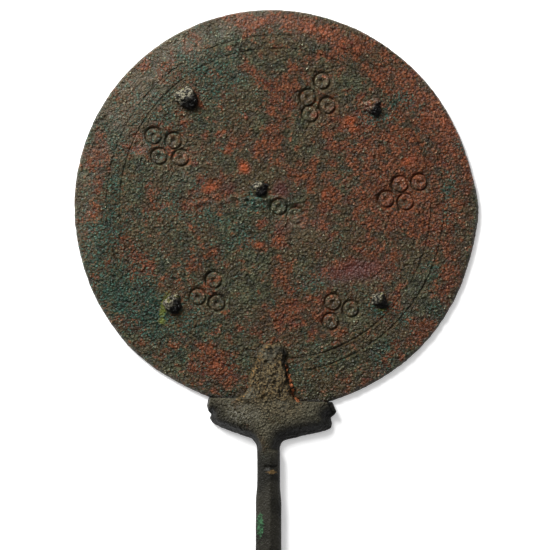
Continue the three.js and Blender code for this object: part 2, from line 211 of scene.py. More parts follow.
def closed_faces(index):
    """The faces between rings of point numbers, one ring below the other, and one face over each end."""
    faces = list(grid_faces(np.hstack([index, index[:, :1]]).T))
    return faces + [index[0], index[-1][::-1]]


def points_of(mesh):
    """The mesh's points as an array in millimetres."""
    flat = np.empty(len(mesh.vertices) * 3)
    mesh.vertices.foreach_get("co", flat)
    return flat.reshape(-1, 3) / MM


def put_points(mesh, points):
    """Moves the mesh's points to those of an array in millimetres."""
    mesh.vertices.foreach_set("co", (points * MM).ravel())
    mesh.update()


def normals_of(mesh):
    """The direction that the surface faces at each point."""
    flat = np.empty(len(mesh.vertices) * 3)
    mesh.vertices.foreach_get("normal", flat)
    return flat.reshape(-1, 3)


def put_mask(mesh, name, values):
    """Stores one number for each point, which the materials read by its name."""
    layer = mesh.attributes.new(name, "FLOAT", "POINT")
    layer.data.foreach_set("value", np.asarray(values, dtype=np.float32))


def new_piece(name, points, faces):
    """An object at the origin, with its place in its mesh and smooth shading."""
    mesh = bpy.data.meshes.new(name)
    mesh.from_pydata((points * MM).tolist(), [], [list(face) for face in faces])
    mesh.shade_smooth()
    piece = bpy.data.objects.new(name, mesh)
    bpy.context.collection.objects.link(piece)
    return piece


def distance_to(contour, x, y):
    """The distance to a contour: the least of the distances to its straight stretches."""
    least = np.full(np.broadcast(x, y).shape, np.inf)
    for (ax, ay), (bx, by) in zip(contour[:-1], contour[1:]):
        length_squared = (bx - ax) ** 2 + (by - ay) ** 2
        t = np.clip(((x - ax) * (bx - ax) + (y - ay) * (by - ay)) / length_squared, 0, 1)
        least = np.minimum(least, np.hypot(x - ax - t * (bx - ax), y - ay - t * (by - ay)))
    return least


def stands_for(piece, node):
    """Hides the frame's node that the piece replaces, hangs the piece from the root, and prints how many
    points and triangles it has.
    """
    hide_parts(node)
    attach(piece, "root")
    triangles = sum(len(face.vertices) - 2 for face in piece.data.polygons)
    print(f"{piece.name}: {len(piece.data.vertices)} points, {triangles} triangles")


# %% [markdown]
# ## The disc
# The disc was cast, and its decorated side is flat out to a rim band that slopes down a little to the
# rounded edge. A pole in the middle of a lathe would pinch the pebbles there. Instead, a square grid is
# spread over the disc ring by ring, which leaves cells of nearly one size everywhere. The rings are
# closer together where the two incised circles run.

# %% Sizes of the disc
DISC_RADIUS = 85.0
RIM_BAND = 11.8
FIELD_THICKNESS = 3.4
RIM_FALL = 0.9
RIM_ROUND = 1.0
COMPASS = np.array([0.6, 2.3])
CIRCLE_INSET = 1.6
CIRCLE_SPACING = 5.6
CIRCLE_WIDTH = 0.8
CIRCLE_DEPTH = 0.5
RIM_WEAR = [
    # angle from +X, spread in degrees, height
    (0, 7, 1.5),
    (50, 25, -0.9),
    (135, 30, 0.6),
    (200, 15, -0.35),
    (243, 10, -0.95),
    (297, 10, -0.4),
    (335, 20, 0.6),
]
FIELD_RADIUS = DISC_RADIUS - RIM_BAND
TOP_RADIUS = DISC_RADIUS - RIM_ROUND
RIM_THICKNESS = FIELD_THICKNESS - RIM_FALL
OUTER_CIRCLE = FIELD_RADIUS - CIRCLE_INSET
INNER_CIRCLE = OUTER_CIRCLE - CIRCLE_SPACING
print("incised circles at:", round(INNER_CIRCLE, 1), "and", round(OUTER_CIRCLE, 1))

# %% Spread a square grid over the disc
FRONT_RINGS = 136
BACK_RINGS = 34
EDGE_RINGS = 6
CIRCLE_CLOSENESS = 1.6
CIRCLE_SPREAD = 0.8
RADIUS_SAMPLES = 4000
BACK_HEIGHT = 0.06
BACK_EDGE = 1.0


def square_to_disc(rings):
    """A square grid wrapped on the disc: a point's ring is its larger coordinate, and its angle is 45
    degrees times the smaller over the larger, counted from the side of the square it lies nearest."""
    line = np.arange(-rings, rings + 1)
    across, up = np.meshgrid(line, line)
    wide = np.abs(across) > np.abs(up)
    large = np.where(wide, across, up)
    small = np.where(wide, up, across)
    turn = np.pi / 4 * small / np.where(large == 0, 1, large)
    side = np.sign(large)
    directions = np.stack(
        [
            side * np.where(wide, np.cos(turn), np.sin(turn)),
            side * np.where(wide, np.sin(turn), np.cos(turn)),
        ],
        axis=-1,
    )
    return np.abs(large), directions


def ring_radii():
    """Radii of the front's rings: equal steps of a sum that grows faster near the incised circles."""
    fine = np.linspace(0, TOP_RADIUS, RADIUS_SAMPLES)
    density = np.ones_like(fine)
    for circle in (INNER_CIRCLE, OUTER_CIRCLE):
        density += CIRCLE_CLOSENESS * np.exp(-(((fine - circle) / CIRCLE_SPREAD) ** 4))
    total = np.concatenate([[0], np.cumsum((density[1:] + density[:-1]) / 2)])
    return np.interp(np.linspace(0, total[-1], FRONT_RINGS + 1), total, fine)


def rim_wear(angle):
    """How far the worn rim stands outside the true circle: a sum of bell curves round the rim."""
    degrees = np.degrees(angle)
    total = np.zeros_like(degrees)
    for at, spread, height in RIM_WEAR:
        away = (degrees - at + 180) % 360 - 180
        total += height * np.exp(-0.5 * (away / spread) ** 2)
    return total


def on_disc(radius, directions):
    """Points in the plane: rings round the compass point in the field, which shift to the disc's own
    centre and its worn outline across the rim band."""
    share = np.clip((radius - FIELD_RADIUS) / RIM_BAND, 0, 1)
    angle = np.arctan2(directions[..., 1], directions[..., 0])
    grown = radius + share * rim_wear(angle)
    return grown[..., None] * directions + (1 - share)[..., None] * COMPASS


def border(index):
    """The point numbers round a square grid's border, anticlockwise from its lower left corner."""
    return np.concatenate([index[0, :-1], index[:-1, -1], index[-1, :0:-1], index[:0:-1, 0]])


def disc_blank():
    """The disc before its relief: the front grid, the rounded edge ring by ring, and a back grid with
    fewer cells along its border. It also gives the way that each point faces."""
    ring, directions = square_to_disc(FRONT_RINGS)
    front = np.zeros(ring.shape + (3,))
    front[..., :2] = on_disc(ring_radii()[ring], directions)
    front[..., 2] = FIELD_THICKNESS
    front_index = np.arange(ring.size).reshape(ring.shape)
    around = border(front_index)
    out = directions.reshape(-1, 2)[around]

    turns = np.pi * np.arange(1, EDGE_RINGS + 1) / (EDGE_RINGS + 0.5)
    edge_radius = TOP_RADIUS + RIM_ROUND * np.sin(turns)
    edge = np.zeros((EDGE_RINGS, len(around), 3))
    edge[..., :2] = on_disc(np.repeat(edge_radius[:, None], len(around), axis=1), out[None])
    edge[..., 2] = (RIM_THICKNESS * (1 + np.cos(turns)) / 2)[:, None]
    edge_index = ring.size + np.arange(EDGE_RINGS * len(around)).reshape(EDGE_RINGS, -1)

    back_ring, back_directions = square_to_disc(BACK_RINGS)
    back = np.zeros(back_ring.shape + (3,))
    back_radius = (TOP_RADIUS - BACK_EDGE) * back_ring / BACK_RINGS
    back[..., :2] = on_disc(back_radius, back_directions)
    back[..., 2] = BACK_HEIGHT
    back_index = edge_index.max() + 1 + np.arange(back_ring.size).reshape(back_ring.shape)

    walls = np.vstack([around, edge_index])
    walls = np.hstack([walls, walls[:, :1]])
    faces = list(grid_faces(front_index))
    faces += list(grid_faces(walls.T))
    faces += list(grid_faces(back_index)[:, ::-1])
    last = walls[-1]
    inner = border(back_index)
    inner = np.append(inner, inner[0])
    share = FRONT_RINGS // BACK_RINGS
    for j in range(len(inner) - 1):
        outer = last[share * j : share * (j + 1) + 1]
        faces.append([outer[0], inner[j], inner[j + 1], *outer[:0:-1]])
    points = np.vstack([front.reshape(-1, 3), edge.reshape(-1, 3), back.reshape(-1, 3)])
    facing = np.zeros_like(points)
    facing[: ring.size, 2] = 1
    facing[edge_index, :2] = np.sin(turns)[:, None, None] * out
    facing[edge_index, 2] = np.cos(turns)[:, None]
    facing[back_index.ravel(), 2] = -1
    return new_piece("disc", points, faces), facing


disc, disc_facing = disc_blank()
print("disc blank:", len(disc.data.vertices), "points")

# %% [markdown]
# The decoration is ring-and-dot stamps, mostly in groups of three or four. A stamp's ring is less than a
# millimetre wide, so the grid is cut finer under each stamp before the relief goes in.

# %% Where the stamps are
RING_RADIUS = 3.5
RING_WIDTH = 0.9
RING_DEPTH = 1.15
DOT_RADIUS = 1.3
DOT_DEPTH = 0.75
STAMPS = np.array(
    [
        # x, y, depth of the ring as a share, depth of the dot as a share
        (-51.2, 31.3, 1.0, 1.0),
        (-42.7, 29.2, 1.0, 1.0),
        (-48.8, 22.6, 1.0, 1.0),
        (-39.7, 22.0, 1.0, 1.0),
        (-58.0, 27.9, 0.0, 1.0),
        (20.2, 54.5, 1.0, 1.0),
        (14.2, 47.5, 1.0, 1.0),
        (22.5, 44.1, 1.0, 1.0),
        (15.1, 40.5, 1.0, 1.0),
        (53.3, 10.7, 1.0, 1.0),
        (61.4, 11.6, 1.0, 1.0),
        (47.4, 4.4, 1.0, 1.0),
        (55.6, 3.3, 1.0, 1.0),
        (24.8, -39.2, 1.0, 1.0),
        (32.3, -42.1, 1.0, 1.0),
        (23.8, -47.4, 1.0, 1.0),
        (-25.7, -29.8, 1.0, 1.0),
        (-32.5, -37.0, 1.0, 1.0),
        (-24.4, -39.6, 1.0, 1.0),
        (1.9, 1.2, 1.0, 1.0),
        (8.9, -2.6, 0.5, 0.5),
    ]
)
STAMP_REACH = RING_RADIUS + 1.0


def refine_under_stamps(piece):
    """Cuts each edge in half that lies on the front within a stamp's reach."""
    points = points_of(piece.data)
    away = np.linalg.norm(points[:, None, :2] - STAMPS[None, :, :2], axis=2).min(axis=1)
    near = (away < STAMP_REACH) & (points[:, 2] > RIM_THICKNESS)
    shell = bmesh.new()
    shell.from_mesh(piece.data)
    edges = [e for e in shell.edges if near[e.verts[0].index] and near[e.verts[1].index]]
    bmesh.ops.subdivide_edges(shell, edges=edges, cuts=1, use_grid_fill=True)
    shell.to_mesh(piece.data)
    shell.free()
    piece.data.shade_smooth()


refine_under_stamps(disc)
print("disc with finer stamps:", len(disc.data.vertices), "points")

# %% [markdown]
# The front's height is worked out for all points at once. Cast forms come first: the field, the sloping
# rim band, the incised circles and the stamps, with the circles softened by wear. Corrosion follows: broad
# lumps, then pebbles of two sizes, small pits where grains have fallen out, a few places where a flake of
# the crust has come off, and one raised crack with a small hole beside it. The rim band, the stamps and a
# few patches of the field kept a smoother skin. In the tables of patches, each row holds the middle's x
# and y, the half length, the half width, the turn in degrees and the strength.

# %% Patches with a smoother skin, and places where a flake has come off
SMOOTH_PATCHES = [
    (-52, 58, 22, 8, 45, 0.8),
    (-25, 74, 20, 6, 20, 0.8),
    (8, 79, 24, 6, -6, 0.8),
    (-79, 0, 26, 5, 90, 0.6),
    (33, -26, 14, 5, 5, 0.9),
    (66, 45, 26, 6, -52, 0.5),
]
FLAKED_PLACES = [
    (8, -7, 11, 6, -10, 0.9),
    (-7, -11, 7, 4, 10, 0.8),
    (2, -17, 5, 3, 30, 0.7),
    (30, -31, 12, 6, 10, 0.7),
    (-36, 25, 5, 3, 0, 0.6),
    (-5, 18, 5, 2, 0, 0.6),
    (16, 57, 6, 3, 20, 0.5),
    (48, 40, 7, 2, 0, 0.6),
    (-20, 12, 5, 3, 40, 0.5),
]
BORDER_NOISE = 9.0
print("smooth patches:", len(SMOOTH_PATCHES), "flaked places:", len(FLAKED_PLACES))


def patches(points, rows, wander=2.5, edge=4.0, seed=0):
    """Soft ellipses with ragged borders, 0 to 1: the points are first shifted by noise, then each row
    covers its share of what is left where the distance in half axes is below one. The wander is about
    how far a border strays, in millimetres, and a higher edge makes it steeper."""
    place = np.column_stack([points[:, :2], np.zeros(len(points))])
    shift_x = layered(place, BORDER_NOISE, 3, seed + 1)
    shift_y = layered(place, BORDER_NOISE, 3, seed + 5)
    x = place[:, 0] + 2 * wander * shift_x
    y = place[:, 1] + 2 * wander * shift_y
    left_over = np.ones(len(points))
    for centre_x, centre_y, half_long, half_wide, turn, strength in rows:
        cosine = np.cos(np.radians(turn))
        sine = np.sin(np.radians(turn))
        along = ((x - centre_x) * cosine + (y - centre_y) * sine) / half_long
        aside = ((y - centre_y) * cosine - (x - centre_x) * sine) / half_wide
        distance = np.sqrt(along**2 + aside**2)
        left_over *= 1 - strength / (1 + np.exp(edge * (distance - 1)))
    return 1 - left_over


# %% Shape the disc's front
CROWN_POWER = 1.7
CUT_MARGIN = 0.1
WEAR_SIZE = 22.0
LUMP_HEIGHT = 0.3
PEBBLE_SIZE = 1.35
PEBBLE_HEIGHT = 0.44
PIT_DEPTH = 0.3
FLAKE_DEPTH = 0.3
CRACK = np.array(
    [(-36, 2), (-29, 4), (-24, 2.5), (-16, 5.5), (-9, 4.5), (-4, 4), (2, 5.5), (6, 2.5), (10, 3)]
)
CRACK_WIDTH = 0.75
CRACK_HEIGHT = 0.9
HOLE = (-11.5, 4.2)
HOLE_RADIUS = 0.9
HOLE_DEPTH = 1.0
CRACK_SMOOTHED = 1.6
SHOULDER_TOP = 80.6
SHOULDER_TURN = -0.04
SHOULDER_LEFT = -28.5
SHOULDER_RIGHT = 25.0
FRONT_TOLERANCE = 0.01
DOWNWARD = -0.99
EDGE_RELIEF = 0.5
EDGE_INSET = 0.15
BACK_RELIEF = 0.5


def groove(away, half_width, depth):
    """A V-shaped cut with a slightly rounded foot, as deep as depth where away is zero."""
    share = np.clip(1 - np.abs(away) / half_width, 0, 1)
    return depth * share * (1.4 - 0.4 * share)


def cast_front(points):
    """The front's height before corrosion: the field, less the rim's fall, the circles and stamps. It
    also gives how deep each point lies in a cut, and how near it is to a stamp."""
    from_compass = np.linalg.norm(points[:, :2] - COMPASS, axis=1)
    angle = np.arctan2(points[:, 1], points[:, 0])
    past_field = np.linalg.norm(points[:, :2], axis=1) - FIELD_RADIUS
    share = np.clip(past_field / (DISC_RADIUS + rim_wear(angle) - FIELD_RADIUS), 0, 1)
    height = FIELD_THICKNESS - RIM_FALL * share**CROWN_POWER
    worn = np.clip(0.7 + 0.9 * layered(points, WEAR_SIZE, 3, seed=40), 0.4, 1)
    cut = np.zeros(len(points))
    kept = np.zeros(len(points))
    for circle in (INNER_CIRCLE, OUTER_CIRCLE):
        cut += groove(from_compass - circle, CIRCLE_WIDTH / 2 + CUT_MARGIN, CIRCLE_DEPTH) * worn
    for x, y, ring_share, dot_share in STAMPS:
        away = np.hypot(points[:, 0] - x, points[:, 1] - y)
        near = away < STAMP_REACH
        half_width = RING_WIDTH / 2 + CUT_MARGIN
        ring = groove(away[near] - RING_RADIUS, half_width, RING_DEPTH * ring_share)
        dot = DOT_DEPTH * dot_share * np.clip(1 - (away[near] / DOT_RADIUS) ** 2, 0, 1)
        cut[near] += ring + dot
        kept = np.maximum(kept, 1 - smooth_step(RING_RADIUS, RING_RADIUS + 2, away))
    return height - cut, cut, kept


def skin(points, smoothness):
    """The corrosion's height over the cast surface: lumps less flakes, pebbles of two sizes less pits
    where the skin isn't smooth, and the crack's ridge less the hole beside it."""
    rough = 1 - 0.7 * smoothness
    lumps = LUMP_HEIGHT * layered(points, 11.0, 3, seed=10)
    pebbles = PEBBLE_HEIGHT * noise(points, 2 * PEBBLE_SIZE, seed=20)
    grains = PEBBLE_HEIGHT * noise(points, PEBBLE_SIZE, seed=24)
    pits = PIT_DEPTH * smooth_step(0.3, 0.55, noise(points, 2.4, seed=30))
    flaked = patches(points, FLAKED_PLACES, wander=3.0, edge=9.0, seed=33)
    flakes = FLAKE_DEPTH * smooth_step(0.3, 0.5, flaked)
    x = points[:, 0] + 1.2 * noise(points, 3.0, seed=36)
    y = points[:, 1] + 1.2 * noise(points, 3.0, seed=38)
    ridge = CRACK_HEIGHT * np.exp(-((distance_to(CRACK, x, y) / CRACK_WIDTH) ** 2))
    from_hole = np.hypot(points[:, 0] - HOLE[0], points[:, 1] - HOLE[1]) / HOLE_RADIUS
    hole = HOLE_DEPTH * (1 - smooth_step(0.5, 1.1, from_hole))
    return lumps - flakes + rough * (pebbles + grains - pits) + ridge - hole


def shoulder_shadow_line(points):
    """Painted shadow: 1 in a narrow strip along the line where the handle's shoulder lies on the disc, 0
    elsewhere.
    """
    above = points[:, 1] + SHOULDER_TOP - SHOULDER_TURN * points[:, 0]
    away = np.abs(above + 0.5 * noise(points, 4.0, seed=44))
    beside = np.minimum(points[:, 0] - SHOULDER_LEFT, SHOULDER_RIGHT - points[:, 0])
    return (1 - smooth_step(0.4, 1.3, away)) * smooth_step(-0.5, 0.5, beside)


def shape_disc(piece, facing):
    """Sets the front's points to their cast height and moves every point along its facing by the
    skin's height. The skin is smoother at the stamps, in the cuts and beside the crack. The back keeps
    to hollows, so that it never reaches below its plane, and the edge has half of the relief."""
    points = points_of(piece.data)
    directions = np.zeros_like(points)
    directions[:, 2] = 1
    directions[: len(facing)] = facing
    front = points[:, 2] > FIELD_THICKNESS - FRONT_TOLERANCE
    back = directions[:, 2] < DOWNWARD
    edge = ~front & ~back
    smoothness = patches(points, SMOOTH_PATCHES)
    cut_darkening = np.zeros(len(points))
    points[front, 2], cut, kept = cast_front(points[front])
    # a darker colour in the cuts of the circles and stamps
    cut_darkening[front] = smooth_step(0.08, 0.4, cut)
    smoothness[front] = np.maximum(smoothness[front], 0.9 * kept)
    smoothness[front] = np.maximum(smoothness[front], 0.35 * smooth_step(0.02, 0.15, cut))
    from_crack = distance_to(CRACK, points[:, 0], points[:, 1])
    near_crack = np.exp(-((from_crack / CRACK_SMOOTHED) ** 2))
    smoothness = np.maximum(smoothness, 0.8 * near_crack)
    relief = skin(points, smoothness)
    relief[back] = -BACK_RELIEF * np.abs(relief[back])
    relief[edge] = EDGE_RELIEF * relief[edge] - EDGE_INSET
    points += relief[:, None] * directions
    points[:, 2] = np.maximum(points[:, 2], BACK_HEIGHT)
    put_points(piece.data, points)
    put_mask(piece.data, "smoothness", smoothness)
    put_mask(piece.data, "cut_darkening", cut_darkening)
    # painted shadow where the handle's shoulder lies on the disc
    put_mask(piece.data, "shoulder_shadow_line", shoulder_shadow_line(points))
    return points


disc_points = shape_disc(disc, disc_facing)
stands_for(disc, "mirror_disc")
print("disc height:", disc_points[:, 2].min().round(2), "to", disc_points[:, 2].max().round(2))

# %% [markdown]
# The disc's colour tells how it lay in the ground. Most of it is a dark green-grey crust. Red copper oxide
# shows through over the right half and in many smaller patches, and teal copper salts fill the hollows at
# the left and the lower left. Such patches follow no rule, so they are listed one by one as soft ellipses,
# and noise makes their borders ragged. Small spots of bright and purple red, pale crust and yellow-green
# salts are placed in the same way; at the upper left of the rim the pale crust is partly a painted sheen.
# The numbers are stored on the mesh's points for the material to read.

# %% Where the red oxide shows
RED_ON_RIM = [
    (-5, 80, 19, 3.5, -3, 0.9),
    (20, 75, 15, 4, -18, 0.9),
    (33, 69, 6, 4, -30, 0.8),
    (52, 58, 14, 6, -45, 0.75),
    (66, 43, 13, 6, -57, 0.8),
    (75, 28, 10, 5, -74, 0.8),
    (82, 10, 11, 2.5, 90, 0.75),
    (76, -8, 7, 4, 90, 0.5),
    (75, -28, 8, 5, 75, 0.75),
    (60, -53, 12, 3.5, 42, 0.8),
    (42, -69, 8, 3, 25, 0.4),
    (-75, 22, 13, 3.5, 88, 0.8),
    (-78, -3, 6, 5, 80, 0.6),
    (-36, 71, 6, 3, 30, 0.5),
    (-43, 66, 3, 3, 0, 0.4),
    (-55, 62, 4, 3, 30, 0.4),
    (-76, -28, 5, 3, 110, 0.4),
    (-62, -48, 6, 3, -15, 0.5),
]
RED_ON_RIGHT = [
    (50, 29, 16, 12, 0, 0.75),
    (58, 15, 15, 10, 0, 0.65),
    (45, 2, 18, 10, 0, 0.55),
    (62, -3, 13, 9, 10, 0.7),
    (33, 37, 8, 4, 10, 0.75),
    (44, 55, 9, 2, -42, 0.7),
    (31, 24, 8, 3, -50, 0.55),
    (34, 47, 10, 5, 15, 0.4),
    (14, 15, 8, 5, 20, 0.7),
    (22, 4, 8, 3, 85, 0.85),
    (2, -11, 4, 3, -60, 0.85),
    (17, -4, 6, 4, -20, 0.45),
    (40, -16, 9, 4, 0, 0.6),
    (33, -25, 13, 3.5, 8, 0.85),
    (44, -31, 5, 2.5, -65, 0.5),
    (50, -24, 4, 5, 0, 0.5),
    (50, -42, 8, 3, 70, 0.6),
    (66, -12, 6, 4, 0, 0.5),
    (58, -38, 3, 5, 20, 0.4),
]
RED_IN_MIDDLE = [
    (5, 50, 10, 7, 80, 0.7),
    (0, 33, 10, 4, 85, 0.65),
    (-5, 27, 7, 4, 0, 0.7),
    (-7, 57, 11, 1.8, -48, 0.6),
    (-13, 61, 5, 2, 60, 0.4),
    (-17, 28, 5, 4, 0, 0.6),
    (-13, 18, 2.6, 2.6, 0, 0.95),
    (-24, 8, 7, 6, 10, 0.65),
    (-27, 13, 4, 3, 0, 0.5),
    (-8, -5, 6, 2.5, 60, 0.4),
    (-6, -15, 6, 2, 10, 0.5),
    (5, -32, 8, 4, 100, 0.6),
    (12, -44, 12, 6, 15, 0.75),
    (26, -52, 5, 4, -30, 0.5),
    (0, -48, 10, 7, 20, 0.35),
    (15, 64, 5, 4, 0, 0.4),
    (26, 63, 5, 3, -20, 0.4),
    (22, 30, 4, 8, 0, 0.3),
    (8, 20, 4, 4, 0, 0.3),
]
RED_ON_LEFT = [
    (-56, 26, 8, 3, 0, 0.65),
    (-60, 31, 3, 3, 0, 0.4),
    (-47, 33, 5, 2, -20, 0.55),
    (-47, 58, 5, 3.5, -30, 0.6),
    (-38, 42, 7, 2.5, 100, 0.35),
    (-33, 49, 5, 2.5, 100, 0.4),
    (-43, 25, 3, 2, 0, 0.4),
    (-30, 32, 4, 3, 0, 0.4),
    (-36, 21, 4, 3, 0, 0.35),
    (-52, 3, 8, 4, 60, 0.4),
    (-35, 3, 8, 3, 20, 0.4),
    (-37, -20, 9, 8, -30, 0.35),
    (-26, -19, 4, 2.5, 30, 0.6),
    (-63, -17, 6, 3, -40, 0.6),
    (-57, -23, 4, 3.5, 0, 0.7),
    (-44, -32, 5, 4, 20, 0.6),
    (-27, -34, 3, 3, 0, 0.55),
    (-28, -30, 4, 2, 10, 0.3),
    (-24, -67, 9, 6, -40, 0.95),
    (-28, -59, 7, 2, -38, 0.8),
    (-35, -67, 4, 3, 0, 0.5),
    (-45, -58, 5, 3, 10, 0.5),
    (-12, -72, 6, 3, -15, 0.5),
    (-18, -50, 10, 5, 15, 0.3),
]
BRIGHT_RED = [
    (-12.8, 17.8, 2.2, 1.8, -30, 1.0),
    (31.5, 38.0, 2.6, 1.6, 40, 0.8),
    (33.5, 34.0, 1.6, 1.2, 0, 0.7),
    (-27.0, 8.5, 3.0, 1.6, 20, 0.7),
    (-7.0, -15.0, 1.6, 1.2, 0, 0.7),
    (-20.0, 25.0, 1.6, 1.2, 30, 0.6),
    (21.0, 6.0, 2.2, 1.2, 80, 0.6),
    (57.0, 21.0, 3.0, 1.6, 20, 0.6),
]
PURPLE_RED = [
    (2.6, 8.4, 3.6, 3.4, 0, 1.0),
    (-19.0, 9.5, 3.0, 2.0, 30, 0.7),
    (35.0, -26.0, 11.0, 4.5, 8, 0.95),
    (4.0, -8.0, 4.0, 2.5, 20, 0.5),
]
RED_PATCHES = RED_ON_RIM + RED_ON_RIGHT + RED_IN_MIDDLE + RED_ON_LEFT
print("red patches:", len(RED_PATCHES), "bright:", len(BRIGHT_RED), "purple:", len(PURPLE_RED))

# %% Where the crust is pale, partly as a painted sheen, and where copper salts left yellow-green
# pale crust; the patches at the upper left of the rim are also a painted sheen
PALE_AND_SHEEN = [
    (-62, 45, 30, 9, 52, 0.8),
    (-30, 75, 18, 5, 22, 0.7),
    (-81, 8, 18, 2.5, 90, 0.5),
    (-40, 12, 14, 10, 0, 0.3),
    (0, 82, 22, 2.5, 0, 0.5),
    (-22, 60, 14, 8, 10, 0.25),
    (60, -34, 10, 3, 55, 0.25),
    (9, -7, 7, 4, -10, 0.5),
]
YELLOW_GREEN = [
    (-46.6, -41.0, 6.5, 1.6, 75, 1.0),
    (-47.6, -47.8, 1.8, 1.3, 0, 0.9),
    (45.5, -42.6, 3.0, 0.8, 10, 0.7),
    (-9.5, 4.8, 1.5, 0.8, 0, 0.5),
]
print("pale patches:", len(PALE_AND_SHEEN), "yellow-green:", len(YELLOW_GREEN))

# %% Where the teal salts show
TEAL = [
    (-64, -35, 10, 9, 0, 0.7),
    (-54, -38, 5, 6, 0, 0.7),
    (-52, -49, 7, 4, -25, 0.6),
    (-75, -14, 7, 5, 90, 0.5),
    (-68, 15, 25, 2.5, 88, 0.5),
    (-68, -10, 8, 4, 90, 0.5),
    (-33, 62, 9, 5, 15, 0.6),
    (-22, 56, 10, 9, 0, 0.45),
    (-52, 45, 8, 7, 40, 0.35),
    (-10, 3, 4, 3, 0, 0.85),
    (-25, -3, 7, 4, 0, 0.45),
    (-12, -12, 7, 5, 0, 0.5),
    (16, -29, 6, 5, 0, 0.55),
    (27, -15, 3, 5, 0, 0.5),
    (79, 28, 3, 3, 0, 0.9),
    (53, 47, 5, 3, -30, 0.7),
    (45, 40, 8, 1.8, 0, 0.6),
    (73, 10, 3, 7, 0, 0.6),
    (72, -3, 2.5, 7, 0, 0.4),
    (66, -28, 4, 6, 0, 0.55),
    (46, -62, 4, 8, -20, 0.7),
    (55, -49, 4, 6, 30, 0.6),
    (70, -42, 3, 4, 0, 0.6),
    (43, -42, 5.5, 4, 0, 1.0),
    (46.4, 39.0, 4.6, 2.6, -5, 1.0),
    (48.8, 45.7, 2.4, 2.2, -30, 1.0),
    (33, -33, 5, 4, 0, 0.4),
    (20, -65, 10, 8, 0, 0.35),
    (-36, -48, 8, 6, 0, 0.35),
    (34, 29, 4, 3, 40, 0.4),
    (-45, -1, 6, 8, 0, 0.25),
    (-15, -66, 5, 3, 0, 0.3),
]


def stain_disc(piece, points):
    """Stores the red and teal patches with a fine mottle on both, and the smaller spots. The back has
    red and teal clouds made by noise alone, and none of the spots."""
    back = points[:, 2] < RIM_THICKNESS / 2
    red = patches(points, RED_PATCHES, wander=2.0, edge=3.0, seed=60)
    red += 0.45 * layered(points, 5.0, 3, seed=80)
    red[back] = 0.35 + 0.8 * layered(points[back], 16.0, 4, seed=84)
    teal = patches(points, TEAL, wander=2.0, edge=3.0, seed=70)
    to_left = 1 - smooth_step(-60, 25, points[:, 0])
    teal += 0.4 * layered(points, 6.0, 3, seed=90) + 0.25 * to_left
    teal[back] = 0.35 + 0.8 * layered(points[back], 14.0, 4, seed=94)
    # pale crust, with a painted sheen at the upper left of the rim
    pale = patches(points, PALE_AND_SHEEN, wander=2.0, edge=2.5, seed=75)
    pale *= 0.7 + layered(points, 7.0, 3, seed=96)
    pale[back] = 0
    for name, values in (("red_oxide", red), ("teal_salts", teal), ("pale_crust_and_sheen", pale)):
        put_mask(piece.data, name, np.clip(values, 0, 1))
    for name, rows, wander, seed in (
        ("yellow_green", YELLOW_GREEN, 0.5, 78),
        ("bright_red", BRIGHT_RED, 0.8, 66),
        ("purple_red", PURPLE_RED, 0.8, 66),
    ):
        spots = patches(points, rows, wander, edge=5.0, seed=seed)
        spots[back] = 0
        put_mask(piece.data, name, spots)


stain_disc(disc, disc_points)
print("teal patches:", len(TEAL), "masks of the disc:", [a.name for a in disc.data.attributes])

# %% [markdown]
# ## The handle
# The handle is one casting: a tongue that laps over the disc, a shoulder with two lobes on each side,
# and a faceted rod. Each part of it is a row of cross-sections, one below the other, so it is a profile
# carried down the mirror's axis. The stem (shoulder and rod) and the tongue are united, the disc's seat is
# cut from their back, and remeshing with small cubes makes them one skin together with the crust's lumps.
# The corrosion then moves that skin's points.

# %% Sizes of the handle
RIM_Y = -DISC_RADIUS
ROD_AXIS = -2.5
NECK_Y = RIM_Y - 17.0
NECK_WIDTH = 9.7
TAPER_Y = NECK_Y - 13.0
TAPER_LENGTH = 11.0
GRIP_WIDTH = 10.9
GRIP_Y = TAPER_Y - TAPER_LENGTH
GRIP_LENGTH = 64.0
BUTT_WIDTH = 13.6
BUTT_Y = GRIP_Y - GRIP_LENGTH
BUTT_LENGTH = 11.0
BUTT_TIP_SHARE = 0.3
BUTT_TIP_HEIGHT_SHARE = 0.45
ROD_SIDE_HEIGHT = 3.6
ROD_RIDGE_HEIGHT = 7.2
ROD_RIDGE_SHARE = 0.57
ROD_FULLNESS = 0.55
BASE_BEVEL = 0.9
SHOULDER_SKEW = -0.04
SHOULDER_FRONT = 6.6
SHOULDER_EDGE_HEIGHT = 1.6
LEFT_SLOPE_WIDTH = 3.8
RIGHT_SLOPE_WIDTH = 6.6
END_ROUND = 1.1
END_WALL_SHARE = 0.4
END_STEP_LENGTH = 2.2
END_STEP_HEIGHT = 4.2
NECK_FILLET_STEPS = 8

# Contours as x and the height above the disc's lowest point, from the top down
LEFT_UPPER = [(-27.9, 5.5), (-28.8, 1.8), (-28.0, -0.4)]
LEFT_LOWER = [(-26.7, -1.6), (-27.5, -3.4), (-26.4, -5.2), (-23.9, -6.7), (-18.6, -8.8), (-13.0, -11.1)]
RIGHT_UPPER = [(24.6, 3.4), (26.4, -0.6), (25.7, -2.0)]
RIGHT_LOWER = [(23.9, -3.1), (24.5, -5.6), (23.9, -7.6), (20.3, -9.3), (10.6, -11.2), (4.9, -12.7)]
TONGUE_LEFT = [(-2.9, 27.8), (-5.0, 26.1), (-7.1, 23.7), (-7.3, 21.2), (-9.0, 18.5)]
TONGUE_LEFT += [(-10.8, 14.1), (-10.9, 9.4), (-13.4, 6.3), (-18.0, 3.8)]
TONGUE_RIGHT = [(2.0, 28.6), (4.3, 25.6), (4.4, 19.5), (5.3, 16.3), (6.4, 11.0), (7.1, 6.6), (10.8, 2.1)]
TONGUE_TIP_HEIGHT = 5.2
TONGUE_SIDE_HEIGHT = 4.0
TONGUE_ROUND = 1.8
TONGUE_BEVEL = 0.3
BUTT_SECTIONS = 14
STATION = 0.5
